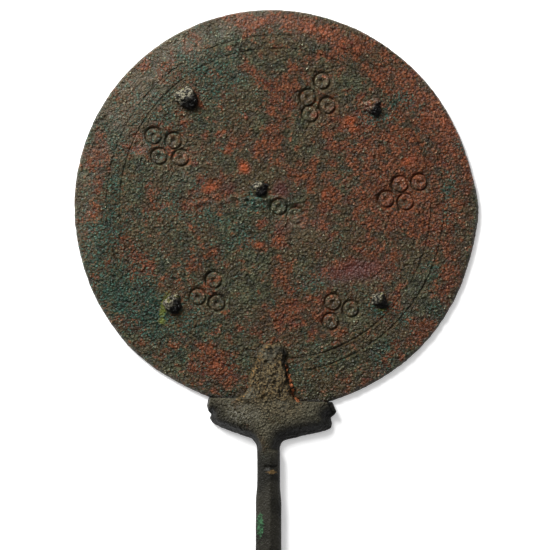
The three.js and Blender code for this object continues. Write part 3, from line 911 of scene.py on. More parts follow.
ACROSS = 80
print("handle below the disc's edge:", RIM_Y - BUTT_Y + BUTT_LENGTH)

# %% Cross-sections


def in_frame(contour):
    """A contour in the mirror's own frame, as an array from the top down."""
    return np.array(contour, dtype=float) + (0, RIM_Y)


def side_contour(lower, rod_side):
    """A lower lobe, ended by a hollow quarter ellipse to the rod's side at the neck."""
    lobe = in_frame(lower)
    turn = np.pi / 2 * np.arange(1, NECK_FILLET_STEPS + 1) / NECK_FILLET_STEPS
    start_x, start_y = lobe[-1]
    fillet_x = start_x + (rod_side - start_x) * np.sin(turn)
    fillet_y = NECK_Y + (start_y - NECK_Y) * np.cos(turn)
    return np.vstack([lobe, np.column_stack([fillet_x, fillet_y])])


def level(contour):
    """Takes the tilt of the shoulder's cross-sections out of a contour."""
    return np.column_stack([contour[:, 0], contour[:, 1] - SHOULDER_SKEW * contour[:, 0]])


def contour_at(contour, y):
    """The contour's x at each height y, by straight lines between its points."""
    return np.interp(y, contour[::-1, 1], contour[::-1, 0])


def quarter_round(share):
    """A quarter of a circle's rise: the sine of a right angle times the share."""
    return np.sin(np.pi / 2 * np.clip(share, 0, 1))


def sections(y, left, right):
    """Points across each section, closer together at both ends: shares of half a cosine wave."""
    share = 0.5 - 0.5 * np.cos(np.pi * np.arange(ACROSS + 1) / ACROSS)
    x = left[:, None] + (right - left)[:, None] * share
    return x, np.broadcast_to(y[:, None], x.shape), share


def loft(x, y, front, foot, bevel, skew):
    """A closed skin from cross-sections: the front's points from left to right, then the back's from
    right to left with its corners cut off. The first and last sections are closed by one face each."""
    back_x = np.stack([x[:, -1], x[:, -1] - bevel, x[:, 0] + bevel, x[:, 0]], axis=1)
    back_z = np.stack([foot + bevel, foot, foot, foot + bevel], axis=1)
    back_y = np.repeat(y[:, :1], 4, axis=1)
    ring_x = np.hstack([x, back_x])
    ring_y = np.hstack([y, back_y])
    points = np.stack([ring_x, ring_y + skew[:, None] * ring_x, np.hstack([front, back_z])], axis=-1)
    index = np.arange(points.shape[0] * points.shape[1]).reshape(points.shape[:2])
    return points.reshape(-1, 3), closed_faces(index)


# %% Stem: shoulder and rod


def shoulder_sections():
    """The shoulder's sections: full height inside, sloping to its lower contours, with rounded ends
    and one low step at the end of the right upper lobe."""
    left_lower = level(side_contour(LEFT_LOWER, ROD_AXIS - NECK_WIDTH / 2))
    right_lower = level(side_contour(RIGHT_LOWER, ROD_AXIS + NECK_WIDTH / 2))
    left_whole = np.vstack([level(in_frame(LEFT_UPPER)), left_lower])
    right_whole = np.vstack([level(in_frame(RIGHT_UPPER)), right_lower])
    top = max(left_whole[0, 1], right_whole[0, 1])
    heights = np.arange(top, NECK_Y, -STATION)
    x, y, _ = sections(heights, contour_at(left_whole, heights), contour_at(right_whole, heights))
    slope_left = distance_to(left_lower, x, y) / LEFT_SLOPE_WIDTH
    slope_right = distance_to(right_lower, x, y) / RIGHT_SLOPE_WIDTH
    slope = quarter_round(np.minimum(slope_left, slope_right))
    to_end = np.minimum(x - x[:, :1], x[:, -1:] - x)
    end = END_WALL_SHARE + (1 - END_WALL_SHARE) * quarter_round(to_end / END_ROUND)
    front = SHOULDER_EDGE_HEIGHT + (SHOULDER_FRONT - SHOULDER_EDGE_HEIGHT) * np.minimum(slope, end)
    on_step = (y > right_lower[0, 1]) & (x[:, -1:] - x < END_STEP_LENGTH)
    front = np.where(on_step, np.minimum(front, END_STEP_HEIGHT), front)
    return x, y, front


def rod_sections():
    """The rod's sections: two facets that meet at a ridge right of the middle, a width that swells
    from neck to butt, and a rounded end."""
    straight = np.arange(NECK_Y - STATION, BUTT_Y, -STATION)
    into = np.sin(np.pi / 2 * np.linspace(0, 1, BUTT_SECTIONS))
    heights = np.concatenate([straight, BUTT_Y - BUTT_LENGTH * into])
    taper = smooth_step(0, TAPER_LENGTH, TAPER_Y - heights)
    swell = smooth_step(GRIP_LENGTH / 3, GRIP_LENGTH, GRIP_Y - heights)
    width = NECK_WIDTH + (GRIP_WIDTH - NECK_WIDTH) * taper + (BUTT_WIDTH - GRIP_WIDTH) * swell
    into_butt = np.clip((BUTT_Y - heights) / BUTT_LENGTH, 0, 1)
    share = np.maximum(np.sqrt(1 - into_butt**2), BUTT_TIP_SHARE)
    half = width / 2 * share
    x, y, across = sections(heights, ROD_AXIS - half, ROD_AXIS + half)
    left_climb = across / ROD_RIDGE_SHARE
    right_climb = (1 - across) / (1 - ROD_RIDGE_SHARE)
    climb = np.where(across < ROD_RIDGE_SHARE, left_climb, right_climb)
    front = ROD_SIDE_HEIGHT + (ROD_RIDGE_HEIGHT - ROD_SIDE_HEIGHT) * climb**ROD_FULLNESS
    lower = BUTT_TIP_HEIGHT_SHARE + (1 - BUTT_TIP_HEIGHT_SHARE) * share
    return x, y, front * lower[:, None], BASE_BEVEL * share


def stem_skin():
    """The shoulder's and the rod's sections as one closed skin."""
    shoulder_x, shoulder_y, shoulder_front = shoulder_sections()
    rod_x, rod_y, rod_front, rod_bevel = rod_sections()
    x = np.vstack([shoulder_x, rod_x])
    y = np.vstack([shoulder_y, rod_y])
    front = np.vstack([shoulder_front, rod_front])
    bevel = np.concatenate([np.full(len(shoulder_x), BASE_BEVEL), rod_bevel])
    skew = np.concatenate([np.full(len(shoulder_x), SHOULDER_SKEW), np.zeros(len(rod_x))])
    return loft(x, y, front, np.zeros(len(x)), bevel, skew)


# %% Tongue


def tongue_skin():
    """The tongue's sections: a strap with rounded sides that thickens towards the shoulder."""
    left = in_frame(TONGUE_LEFT)
    right = in_frame(TONGUE_RIGHT)
    tip = min(left[0, 1], right[0, 1])
    root = right[-1, 1]
    heights = np.arange(tip, root, -STATION)
    x, y, _ = sections(heights, contour_at(left, heights), contour_at(right, heights))
    down = (tip - y) / (tip - root)
    crown = TONGUE_TIP_HEIGHT + (SHOULDER_FRONT - TONGUE_TIP_HEIGHT) * np.sqrt(down)
    to_side = np.minimum(x - x[:, :1], x[:, -1:] - x)
    to_side = np.minimum(to_side, 0.6 + tip - y)
    front = TONGUE_SIDE_HEIGHT + (crown - TONGUE_SIDE_HEIGHT) * quarter_round(to_side / TONGUE_ROUND)
    foot = np.full(len(heights), RIM_THICKNESS / 2)
    bevel = np.full(len(heights), TONGUE_BEVEL)
    return loft(x, y, front, foot, bevel, np.zeros(len(heights)))


# %% [markdown]
# Lumps and crystals of corrosion grow on the tongue and in the seam at its right. Such a lump is like a
# stone: many planes, each cutting a little off, with the corners worn round. In any direction from the
# middle the surface is as far away as the nearest plane, softened where planes meet.

# %% Lumps
LUMP_PLANES = 9
LUMP_SOFTNESS = 12.0
LUMP_FLATTENING = 0.8
NEAREST_PLANE = 0.72
ROUNDING_BALL = 0.85
LUMP_ROWS = 9
LUMP_COLUMNS = 14


def sphere_directions(polar, azimuth):
    """The direction for each angle from the top and each angle round it, as one long list."""
    polar, azimuth = np.meshgrid(polar, azimuth, indexing="ij")
    level_part = np.sin(polar)
    parts = [level_part * np.cos(azimuth), level_part * np.sin(azimuth), np.cos(polar)]
    return np.stack(parts, axis=-1).reshape(-1, 3)


def lump(directions, seed):
    """The distance from a lump's middle to its surface: one over the p-norm of how squarely each
    direction meets each of the lump's planes, and of a ball that rounds the corners."""
    chance = np.random.default_rng(seed)
    planes = chance.normal(size=(LUMP_PLANES, 3))
    planes[:, 2] = np.abs(planes[:, 2]) * LUMP_FLATTENING
    planes /= np.linalg.norm(planes, axis=1, keepdims=True)
    offsets = chance.uniform(NEAREST_PLANE, 1.0, LUMP_PLANES)
    meets = np.clip(directions @ planes.T, 0, None) / offsets
    powers = (meets**LUMP_SOFTNESS).sum(axis=1) + ROUNDING_BALL**LUMP_SOFTNESS
    return 1 / powers ** (1 / LUMP_SOFTNESS)


def small_lump(centre, radius, seed):
    """A closed lump: directions over the whole sphere on a grid of rows and columns, each times the
    lump's reach, and one face over each pole."""
    polar = np.pi * np.linspace(0.08, 0.92, LUMP_ROWS)
    azimuth = 2 * np.pi * np.arange(LUMP_COLUMNS) / LUMP_COLUMNS
    directions = sphere_directions(polar, azimuth)
    points = centre + radius * directions * lump(directions, seed)[:, None]
    index = np.arange(len(points)).reshape(LUMP_ROWS, LUMP_COLUMNS)
    return points, closed_faces(index)


def joined(skins):
    """Several closed skins in one list of points and faces."""
    points = np.vstack([skin_points for skin_points, _ in skins])
    starts = np.cumsum([0] + [len(skin_points) for skin_points, _ in skins[:-1]])
    faces = [np.asarray(face) + start for start, (_, rows) in zip(starts, skins) for face in rows]
    return points, faces


# How far above the disc's lowest point the lumps and the crystals lie, their radii, and their count
LUMPS_FOOT = 3.0
LUMPS_TOP = 27.5
LUMP_RADII = (0.7, 1.5)
CRUST_LUMPS = 70
CRYSTALS_FOOT = 3.5
CRYSTALS_TOP = 19.0
CRYSTAL_RADII = (0.45, 0.95)
CRYSTAL_HEIGHT = 3.5
SEAM_CRYSTALS = 22


def crust_lumps():
    """Lumps strewn over the tongue, more of them along its sides, and crystals down its right seam."""
    chance = np.random.default_rng(31)
    left = in_frame(TONGUE_LEFT)
    right = in_frame(TONGUE_RIGHT)
    skins = []
    for seed in range(CRUST_LUMPS):
        y = chance.uniform(RIM_Y + LUMPS_FOOT, RIM_Y + LUMPS_TOP)
        side = chance.beta(0.5, 0.5)
        x_left = contour_at(left, y)
        x = x_left + side * (contour_at(right, y) - x_left)
        from_side = min(side, 1 - side) * 12
        down = (RIM_Y + 28 - y) / 26
        z = 3.6 + (0.9 + 1.6 * down) * quarter_round(from_side / 2)
        skins.append(small_lump((x, y, z), chance.uniform(*LUMP_RADII), seed))
    for seed in range(SEAM_CRYSTALS):
        y = chance.uniform(RIM_Y + CRYSTALS_FOOT, RIM_Y + CRYSTALS_TOP)
        x = contour_at(right, y) + chance.uniform(0.0, 1.5)
        skins.append(small_lump((x, y, CRYSTAL_HEIGHT), chance.uniform(*CRYSTAL_RADII), 200 + seed))
    return joined(skins)


# %% Join the handle's skins
SEAT_MARGIN = 0.15
SEAT_COLUMNS = 360
VOXEL = 0.32


def seat_cutter():
    """A plain disc a little larger than the mirror's, which cuts its seat from the handle's back: rings
    from below the reflecting face, out round the rim, and in again on the front."""
    around = np.linspace(0, 2 * np.pi, SEAT_COLUMNS, endpoint=False)
    directions = np.column_stack([np.cos(around), np.sin(around)])
    rows = []
    for radius, height in [
        (TOP_RADIUS - 0.5, -1.0),
        (DISC_RADIUS - 0.2 + SEAT_MARGIN, 0.3),
        (DISC_RADIUS + SEAT_MARGIN, RIM_THICKNESS / 2),
        (TOP_RADIUS, RIM_THICKNESS),
        (TOP_RADIUS - 3, RIM_THICKNESS),
    ]:
        ring = np.zeros((len(around), 3))
        ring[:, :2] = on_disc(np.full(len(around), radius), directions)
        ring[:, 2] = height
        rows.append(ring)
    index = np.arange(len(rows) * len(around)).reshape(len(rows), -1)
    faces = list(grid_faces(np.hstack([index, index[:, :1]])))
    faces.append(index[0][::-1])
    faces.append(index[-1])
    return new_piece("seat_cutter", np.vstack(rows), faces)


def apply_modifiers(piece):
    """Puts what the modifiers make into the piece's own mesh."""
    shown = piece.evaluated_get(bpy.context.evaluated_depsgraph_get())
    mesh = bpy.data.meshes.new_from_object(shown)
    piece.modifiers.clear()
    piece.data = mesh
    mesh.shade_smooth()


def join_handle():
    """The stem, the tongue and the crust's lumps as one remeshed skin, with the disc's seat cut from
    the back of the stem and the tongue."""
    stem_points, stem_faces = stem_skin()
    tongue_points, tongue_faces = tongue_skin()
    handle = new_piece("handle_bar", stem_points, stem_faces)
    tongue = new_piece("tongue", tongue_points, tongue_faces)
    cutter = seat_cutter()
    for other, operation in ((tongue, "UNION"), (cutter, "DIFFERENCE")):
        joint = handle.modifiers.new(operation.lower(), "BOOLEAN")
        joint.object = other
        joint.operation = operation
        joint.solver = "EXACT"
    apply_modifiers(handle)
    stem_and_tongue = points_of(handle.data), [list(face.vertices) for face in handle.data.polygons]
    whole = new_piece("handle_casting", *joined([stem_and_tongue, crust_lumps()]))
    remesh = whole.modifiers.new("remesh", "REMESH")
    remesh.mode = "VOXEL"
    remesh.voxel_size = VOXEL * MM
    apply_modifiers(whole)
    for used in (handle, tongue, cutter):
        bpy.data.objects.remove(used)
    return whole


handle = join_handle()
print("handle skin:", len(handle.data.vertices), "points")

# %% [markdown]
# The tongue carries a rough crust, the shoulder and the rod a finer skin. A small notch runs across the
# rod below the neck, and a seam with crystals in it lines the right side of the tongue, darkened there by
# a painted shadow.

# %% Shape the handle's skin
NOTCH_Y = NECK_Y - 6.8
NOTCH_FROM = ROD_AXIS - 2.1
NOTCH_TO = ROD_AXIS + 3.7
NOTCH_END = 0.7
NOTCH_STEEP = 0.9
NOTCH_GENTLE = 1.9
NOTCH_DEPTH = 0.6
RELAX_ROUNDS = 3
LOW_BACK = 0.5
HANDLE_TOP = 8.2


def relax(mesh, rounds):
    """Moves each point half way to the mean of its neighbours, a few times over."""
    pairs = np.empty(len(mesh.edges) * 2, dtype=int)
    mesh.edges.foreach_get("vertices", pairs)
    first, second = pairs.reshape(-1, 2).T
    points = points_of(mesh)
    count = np.bincount(first, minlength=len(points)) + np.bincount(second, minlength=len(points))
    for _ in range(rounds):
        total = np.zeros_like(points)
        for axis in range(3):
            total[:, axis] += np.bincount(first, points[second, axis], minlength=len(points))
            total[:, axis] += np.bincount(second, points[first, axis], minlength=len(points))
        points = 0.5 * points + 0.5 * total / count[:, None]
    put_points(mesh, points)


def handle_zones(points):
    """Where the points lie: x of the tongue's two sides at each height, and shares from 0 to 1 for
    being above the disc's rim, in the crust, and on the shoulder."""
    x = points[:, 0]
    y = points[:, 1]
    left = contour_at(in_frame(TONGUE_LEFT), y)
    right = contour_at(in_frame(TONGUE_RIGHT), y)
    above_rim = smooth_step(RIM_Y + 1.5, RIM_Y + 5.5, y)
    inside = smooth_step(-0.8, 0.8, np.minimum(x - left, right - x))
    foot = smooth_step(RIM_Y - 7, RIM_Y + 2, y) * np.exp(-(((x - 1) / 11) ** 4))
    crust = np.maximum(above_rim * inside, 0.5 * foot)
    shoulder = smooth_step(NECK_Y - 6, NECK_Y + 8, y)
    return left, right, above_rim, crust, shoulder


def handle_relief(points, crust, shoulder):
    """The corrosion's height: lumps and fine grains in the crust, and elsewhere a smooth skin that is
    rougher on the shoulder than on the rod."""
    lumps = 1.3 * layered(points, 5.0, 3, seed=110)
    fine = 0.5 * noise(points, 1.4, seed=120) + 0.8 * layered(points, 3.0, 2, seed=125)
    smooth = 0.12 * layered(points, 7.0, 3, seed=130) + 0.06 * (pebbled(points, 1.1, seed=135) - 0.4)
    rough = 0.3 * layered(points, 6.0, 3, seed=140) + 0.25 * noise(points, 1.5, seed=145)
    return crust * (lumps + fine) + (1 - crust) * (smooth + shoulder * rough)


def notch(points, normals):
    """The notch's depth on the rod's front: a steep wall above, a gentle one below, and short ends."""
    across = smooth_step(0, NOTCH_END, points[:, 0] - NOTCH_FROM)
    across *= smooth_step(0, NOTCH_END, NOTCH_TO - points[:, 0])
    along = window(NOTCH_Y - points[:, 1], -NOTCH_STEEP, 0, 0, NOTCH_GENTLE)
    return NOTCH_DEPTH * across * along * smooth_step(0.3, 0.8, normals[:, 2])


def shape_handle(piece, zones):
    """Moves the skin's points along their normals by the corrosion's height, less the notch. The flat
    back keeps to hollows, and no point leaves the casting's height or passes the rod's end."""
    points = points_of(piece.data)
    normals = normals_of(piece.data)
    _, _, _, crust, shoulder = zones
    height = handle_relief(points, crust, shoulder) - notch(points, normals)
    height = np.where(points[:, 2] < LOW_BACK, -0.3 * np.abs(height), height)
    points += height[:, None] * normals
    points[:, 1] = np.maximum(points[:, 1], BUTT_Y - BUTT_LENGTH)
    points[:, 2] = np.clip(points[:, 2], 0, HANDLE_TOP)
    put_points(piece.data, points)
    return points


relax(handle.data, RELAX_ROUNDS)
handle_parts = handle_zones(points_of(handle.data))
handle_points = shape_handle(handle, handle_parts)
print("handle height:", handle_points[:, 2].min().round(2), "to", handle_points[:, 2].max().round(2))
print("width at the shoulder:", np.ptp(handle_points[:, 0]).round(1))

# %% [markdown]
# The handle's colour is worked out from its parts. Ochre grains line the tongue's left side, and a painted
# shadow and rust-red crystals its right side. The shoulder's top is worn pale with painted glints at the
# left, while its lower slope and the casting's sides are painted dark as shade. The rod has a painted
# golden highlight below its notch and one green spot.

# %% Mark where the handle's colours lie
# a painted golden highlight on the lit wall just below the notch
NOTCH_HIGHLIGHT_SPOT = (-1.2, -111.0, 2.4, 1.1)
GREEN_PATCH = (-5.9, -133.6, 1.7, 6.4)
# how far the painted glints spread across and along
GLINT_SPREAD = (10.0, 5.0)
SEAM_WIDTH = 0.9


def oval(points, row, low, high):
    """1 inside an upright oval, 0 outside it: the row holds its middle's x and y and its half axes."""
    x, y, half_wide, half_long = row
    away = np.hypot((points[:, 0] - x) / half_wide, (points[:, 1] - y) / half_long)
    return 1 - smooth_step(low, high, away)


def lower_slope(x, y, z):
    """Where shade is painted: 1 at the shoulder's lower edges and on the casting's sides, 0 well inside
    its front.
    """
    left_edge = distance_to(in_frame(LEFT_LOWER), x, y)
    right_edge = distance_to(in_frame(RIGHT_LOWER), x, y)
    near = np.maximum(1 - smooth_step(1.5, 9.0, left_edge), 1 - smooth_step(2.5, 10.5, right_edge))
    return np.maximum(near, 1 - smooth_step(3.6, 5.2, z))


def stain_handle(piece, points, zones):
    """Stores one number per point for each of the handle's colours."""
    left, right, above_rim, crust, shoulder = zones
    x, y, z = points.T
    above = y - RIM_Y
    beside_shadow = np.abs(x - right + 0.2)
    beside_seam = np.abs(x - right - 0.8) / SEAM_WIDTH
    wide, long = GLINT_SPREAD
    # painted glints on the shoulder's top at the left
    painted_glints = np.exp(-(((x + 15) / wide) ** 2) - ((above + 1.5) / long) ** 2)
    front = smooth_step(2.0, 3.0, z)
    masks = {
        "crust": crust,
        "golden": (1 - smooth_step(0.6, 2.0, np.abs(x - left - 0.6))) * above_rim,
        # painted shadow along the tongue's right side
        "painted_shadow_right": (1 - smooth_step(0.5, 1.3, beside_shadow)) * window(above, 9, 14, 25, 27),
        "seam": (1 - smooth_step(0.6, 1.5, beside_seam)) * window(above, 1, 4, 18, 22),
        "shoulder": shoulder * smooth_step(4.6, 6.2, z),
        # painted shade on the shoulder's lower slopes and the casting's sides
        "shade_under": shoulder * lower_slope(x, y, z),
        "painted_glints": painted_glints * smooth_step(5.0, 6.0, z),
        # painted highlight below the notch
        "notch_highlight": front * oval(points, NOTCH_HIGHLIGHT_SPOT, 0.4, 1.4),
        "green": front * oval(points, GREEN_PATCH, 0.5, 1.3),
    }
    for name, values in masks.items():
        put_mask(piece.data, name, values)


stain_handle(handle, handle_points, handle_parts)
stands_for(handle, "handle")

# %% [markdown]
# ## The rivets
# Five rivets pass through the disc. Their heads have broken and corroded into angular lumps, so each is
# one large lump of the kind that grows in the handle's crust, on a shank that shows in the flat back. The
# side away from the upper left is painted nearly black as shade, so the side towards it is paler, and the
# upper right head has some red.

# %% Make the rivets
HEAD_ROWS = 44
HEAD_COLUMNS = 96
HEAD_FOOT = 3.0
SHANK_RADIUS = 2.0
SHANK_ROWS = [(SHANK_RADIUS, HEAD_FOOT - 0.3), (SHANK_RADIUS, 0.25), (SHANK_RADIUS - 0.25, 0)]
RIVETS = [
    # node, x, y, radius of the head, top of the head, share of red, seed
    ("rivet_upper_left", -37.2, 47.1, 5.7, 8.1, 0.0, 3),
    ("rivet_upper_right", 41.4, 43.7, 4.4, 6.3, 0.62, 5),
    ("rivet_centre", -6.2, 9.3, 3.9, 7.0, 0.1, 11),
    ("rivet_lower_left", -43.1, -40.0, 4.4, 7.4, 0.0, 17),
    ("rivet_lower_right", 44.4, -38.3, 4.3, 7.3, 0.0, 23),
]


def rivet_head(radius, top, seed):
    """The head's rings from its top down to its foot: a lump's reach, roughened by noise and scaled to
    the head's radius and height."""
    polar = np.linspace(0.02, 0.5, HEAD_ROWS) * np.pi
    azimuth = np.linspace(0, 2 * np.pi, HEAD_COLUMNS, endpoint=False)
    directions = sphere_directions(polar, azimuth)
    rough = 1 + 0.3 * layered(directions, 0.6, 3, seed) + 0.08 * pebbled(directions, 0.25, seed + 1)
    head = directions * (lump(directions, seed) * rough)[:, None]
    head *= (radius, radius, top - HEAD_FOOT) / np.abs(head).max(axis=0)
    head[:, 2] += HEAD_FOOT
    return head.reshape(HEAD_ROWS, HEAD_COLUMNS, 3)


def rivet_shank():
    """The shank's rings from the foot of the head down to the reflecting face."""
    around = np.linspace(0, 2 * np.pi, HEAD_COLUMNS, endpoint=False)
    rings = np.zeros((len(SHANK_ROWS), HEAD_COLUMNS, 3))
    for ring, (radius, height) in zip(rings, SHANK_ROWS):
        ring[:, 0] = radius * np.cos(around)
        ring[:, 1] = radius * np.sin(around)
        ring[:, 2] = height
    return rings


def rivet_piece(node, x, y, radius, top, red, seed):
    """A head over the disc and a shank through it, closed at both ends, with two masks: its share of red,
    and how much each point lies towards the upper left, which sets the painted light and shade."""
    rings = np.vstack([rivet_head(radius, top, seed), rivet_shank()])
    index = np.arange(rings.shape[0] * rings.shape[1]).reshape(rings.shape[:2])
    points = rings.reshape(-1, 3) + (x, y, 0)
    piece = new_piece(node + "_lump", points, closed_faces(index))
    put_mask(piece.data, "red_share", np.full(len(points), red))
    # painted light and shade: how far each point lies towards the upper left
    to_upper_left = (points[:, 1] - y - points[:, 0] + x) / radius
    to_upper_left += 0.5 * noise(points, 1.5, seed)
    put_mask(piece.data, "painted_lit_side", smooth_step(-0.5, 0.6, to_upper_left))
    stands_for(piece, node)
    return piece


rivets = [rivet_piece(*row) for row in RIVETS]

# %% [markdown]
# ## Finishes
# All three finishes are the same bronze after many centuries in the ground, so they share two effects,
# each built once as a node group. The first is the pebbled skin: fine grains for the bump, too small for
# the mesh. The second is the patina: a dark green-grey crust with painted highlights on its highest grains
# and painted shade between them, and red and teal salts where the masks on the mesh allow them. Both read
# the object's own coordinates.

# %% Node tools


def colour(hex_code):
    """A colour of the screen such as 3c4038 as the light that Blender works with."""
    parts = [int(hex_code[i : i + 2], 16) / 255 for i in (0, 2, 4)]
    return tuple(p / 12.92 if p <= 0.04045 else ((p + 0.055) / 1.055) ** 2.4 for p in parts) + (1.0,)


class Nodes:
    """Adds nodes to a tree and joins their sockets, so that a network reads as a few plain lines."""

    def __init__(self, tree):
        self.tree = tree

    def feed(self, socket, value):
        """Gives an input a number, a colour, or what another node's output says."""
        if isinstance(value, bpy.types.NodeSocket):
            self.tree.links.new(value, socket)
        else:
            socket.default_value = value

    def put(self, kind, values=None, **settings):
        """Adds a node, sets its properties, and feeds each named input."""
        node = self.tree.nodes.new(kind)
        for name, value in settings.items():
            setattr(node, name, value)
        for name, value in (values or {}).items():
            self.feed(node.inputs[name], value)
        return node

    def maths(self, operation, first, second=0.0):
        """One sum of two numbers."""
        return self.put("ShaderNodeMath", {0: first, 1: second}, operation=operation).outputs[0]

    def times(self, first, second):
        """One number times another."""
        return self.maths("MULTIPLY", first, second)

    def plus(self, first, second):
        """Two numbers added."""
        return self.maths("ADD", first, second)

    def scaled(self, vector, factor):
        """A vector times a number."""
        node = self.put("ShaderNodeVectorMath", {0: vector}, operation="SCALE")
        node.inputs["Scale"].default_value = factor
        return node.outputs[0]

    def noise(self, vector, size, detail=2.0, roughness=0.5):
        """Noise whose lumps are about size apart, from 0 to 1."""
        values = {"Vector": vector, "Scale": 1 / size, "Detail": detail, "Roughness": roughness}
        return self.put("ShaderNodeTexNoise", values).outputs["Fac"]

    def between(self, value, low, high):
        """0 below low, 1 above high, smooth between."""
        values = {"Value": value, "From Min": low, "From Max": high}
        node = self.put("ShaderNodeMapRange", values, interpolation_type="SMOOTHSTEP")
        return node.outputs["Result"]

    def blend(self, factor, first, second):
        """The first colour where the factor is 0, the second where it is 1."""
        values = {0: factor, 6: first, 7: second}
        return self.put("ShaderNodeMix", values, data_type="RGBA").outputs[2]

    def two_tone(self, value, low, high, first, second):
        """From one colour to the other as the value climbs from low to high."""
        return self.blend(self.between(value, low, high), colour(first), colour(second))

    def cover(self, below, factor, share, over):
        """One colour laid over another where the factor says, as strongly as the share says."""
        return self.blend(self.times(factor, share), below, colour(over))

    def mask(self, name):
        """A mask that is stored on the mesh."""
        return self.put("ShaderNodeAttribute", attribute_name=name).outputs["Fac"]


def new_group(name, inputs, outputs):
    """An empty node group with named sockets."""
    tree = bpy.data.node_groups.new(name, "ShaderNodeTree")
    for socket_name, socket_type in inputs:
        tree.interface.new_socket(socket_name, in_out="INPUT", socket_type=socket_type)
    for socket_name, socket_type in outputs:
        tree.interface.new_socket(socket_name, in_out="OUTPUT", socket_type=socket_type)
    return tree, tree.nodes.new("NodeGroupInput"), tree.nodes.new("NodeGroupOutput")


# %% The pebbled skin


def pebble_group():
    """Two layers of cones, one on each cell of a cell pattern, of random heights, and a little noise.
    Cones have a lit side and a dark side even when they are only two or three pixels wide. The grain is
    the finer cells' random number."""
    inputs = [("Place", "NodeSocketVector"), ("Grain Size", "NodeSocketFloat")]
    outputs = [("Height", "NodeSocketFloat"), ("Grain", "NodeSocketFloat")]
    tree, given, result = new_group("pebbled_skin", inputs, outputs)
    n = Nodes(tree)
    place = n.put("ShaderNodeVectorMath", {0: given.outputs["Place"]}, operation="DIVIDE")
    tree.links.new(given.outputs["Grain Size"], place.inputs[1])
    wobble = n.put("ShaderNodeTexNoise", {"Vector": place.outputs[0], "Scale": 1.3, "Detail": 2.0})
    moved = {0: place.outputs[0], 1: wobble.outputs["Color"]}
    shifted = n.put("ShaderNodeVectorMath", moved, operation="ADD")
    total = n.times(n.noise(place.outputs[0], 0.6, 2.0, 0.6), 0.35)
    for scale, share in ((1.0, 0.75), (2.1, 0.25)):
        cells = n.put("ShaderNodeTexVoronoi", {"Vector": shifted.outputs[0], "Scale": scale})
        cone = n.maths("SUBTRACT", 1.0, cells.outputs["Distance"])
        tall = n.plus(n.times(cells.outputs["Color"], 1.5), 0.15)
        total = n.plus(total, n.times(n.times(cone, tall), share))
    tree.links.new(total, result.inputs["Height"])
    tree.links.new(cells.outputs["Color"], result.inputs["Grain"])
    return tree


PEBBLES = pebble_group()
print("group:", PEBBLES.name)

# %% The patina


def patina_group():
    """Three layers of colour: the crust with painted highlights on its highest grains, the red oxide with
    painted highlights of its own, and the teal salts. The masks of red and teal are broken up by fine
    noise before they are cut off, and painted shade darkens the hollows between the pebbles at the end."""
    inputs = [
        ("Place", "NodeSocketVector"),
        ("Height", "NodeSocketFloat"),
        ("Grain", "NodeSocketFloat"),
        ("Red", "NodeSocketFloat"),
        ("Teal", "NodeSocketFloat"),
    ]
    outputs = [
        ("Color", "NodeSocketColor"),
        ("Roughness", "NodeSocketFloat"),
        ("Metallic", "NodeSocketFloat"),
    ]
    tree, given, result = new_group("bronze_patina", inputs, outputs)
    n = Nodes(tree)
    place = given.outputs["Place"]
    height = given.outputs["Height"]
    grain = given.outputs["Grain"]
    broad = n.noise(place, 14.0, 3.0)
    middle = n.noise(place, 4.2, 4.0, 0.6)
    fine = n.noise(place, 1.0, 2.0, 0.6)
    crust = n.two_tone(middle, 0.35, 0.65, "2d2f20", "56573d")
    crust = n.blend(n.between(broad, 0.38, 0.62), crust, colour("4f412a"))
    crust = n.blend(given.outputs["Red"], crust, colour("4e3220"))
    # painted highlight: paler colour and a metallic shine on the highest grains
    glint_tops = n.times(n.between(height, 0.74, 1.0), n.between(grain, 0.5, 0.9))
    crust = n.cover(crust, glint_tops, 0.5, "b6b99c")

    ragged = n.plus(n.times(middle, 3.4), n.times(fine, 0.8))
    red_level = n.plus(given.outputs["Red"], n.maths("SUBTRACT", ragged, 2.12))
    red_cover = n.times(n.between(red_level, 0.2, 0.75), 0.95)
    red = n.two_tone(fine, 0.3, 0.7, "4f2915", "864b2c")
    red = n.blend(n.between(n.noise(place, 2.6, 2.0), 0.55, 0.7), red, colour("5a2a1e"))
    red = n.blend(n.between(given.outputs["Red"], 0.8, 1.0), red, colour("854528"))
    # painted highlight on the red's highest grains
    red = n.cover(red, glint_tops, 0.45, "bb9270")
    layers = n.blend(red_cover, crust, red)

    other = n.noise(place, 0.9, 2.0, 0.6)
    mottle = n.maths("SUBTRACT", n.times(other, 3.4), 1.8)
    teal_level = n.plus(given.outputs["Teal"], mottle)
    teal_cover = n.times(n.between(teal_level, 0.25, 0.9), 0.75)
    layers = n.blend(teal_cover, layers, n.two_tone(other, 0.5, 0.66, "17332b", "3c6e60"))

    # painted shade: the hollows between the pebbles darkened
    hollow = n.maths("SUBTRACT", 1.0, n.between(height, 0.4, 0.64))
    tree.links.new(n.cover(layers, hollow, 0.6, "0a0905"), result.inputs["Color"])
    tree.links.new(n.plus(n.times(fine, 0.3), 0.2), result.inputs["Roughness"])
    tree.links.new(n.times(glint_tops, 0.8), result.inputs["Metallic"])
    return tree


PATINA = patina_group()
print("group:", PATINA.name)

# %% [markdown]
# Each part then gets its own finish. The disc adds its pale crust, partly a painted sheen, bright spots
# and a painted shadow along the shoulder. The handle is darker and smoother, with a brown crust on the
# tongue, and the rivets are dark metal, paler on the side towards the upper left and painted nearly black
# as shade on the other. The pebbles' height turns the shading, as most of them are too fine for the mesh.

# %% One finish for each part of the mirror
# Sizes of a grain and full heights of the bump, in millimetres
DISC_GRAIN = 1.2
DISC_BUMP = 1.9
HANDLE_GRAIN = 0.95
HANDLE_BUMP = 1.4
RIVET_GRAIN = 1.0
RIVET_BUMP = 0.9


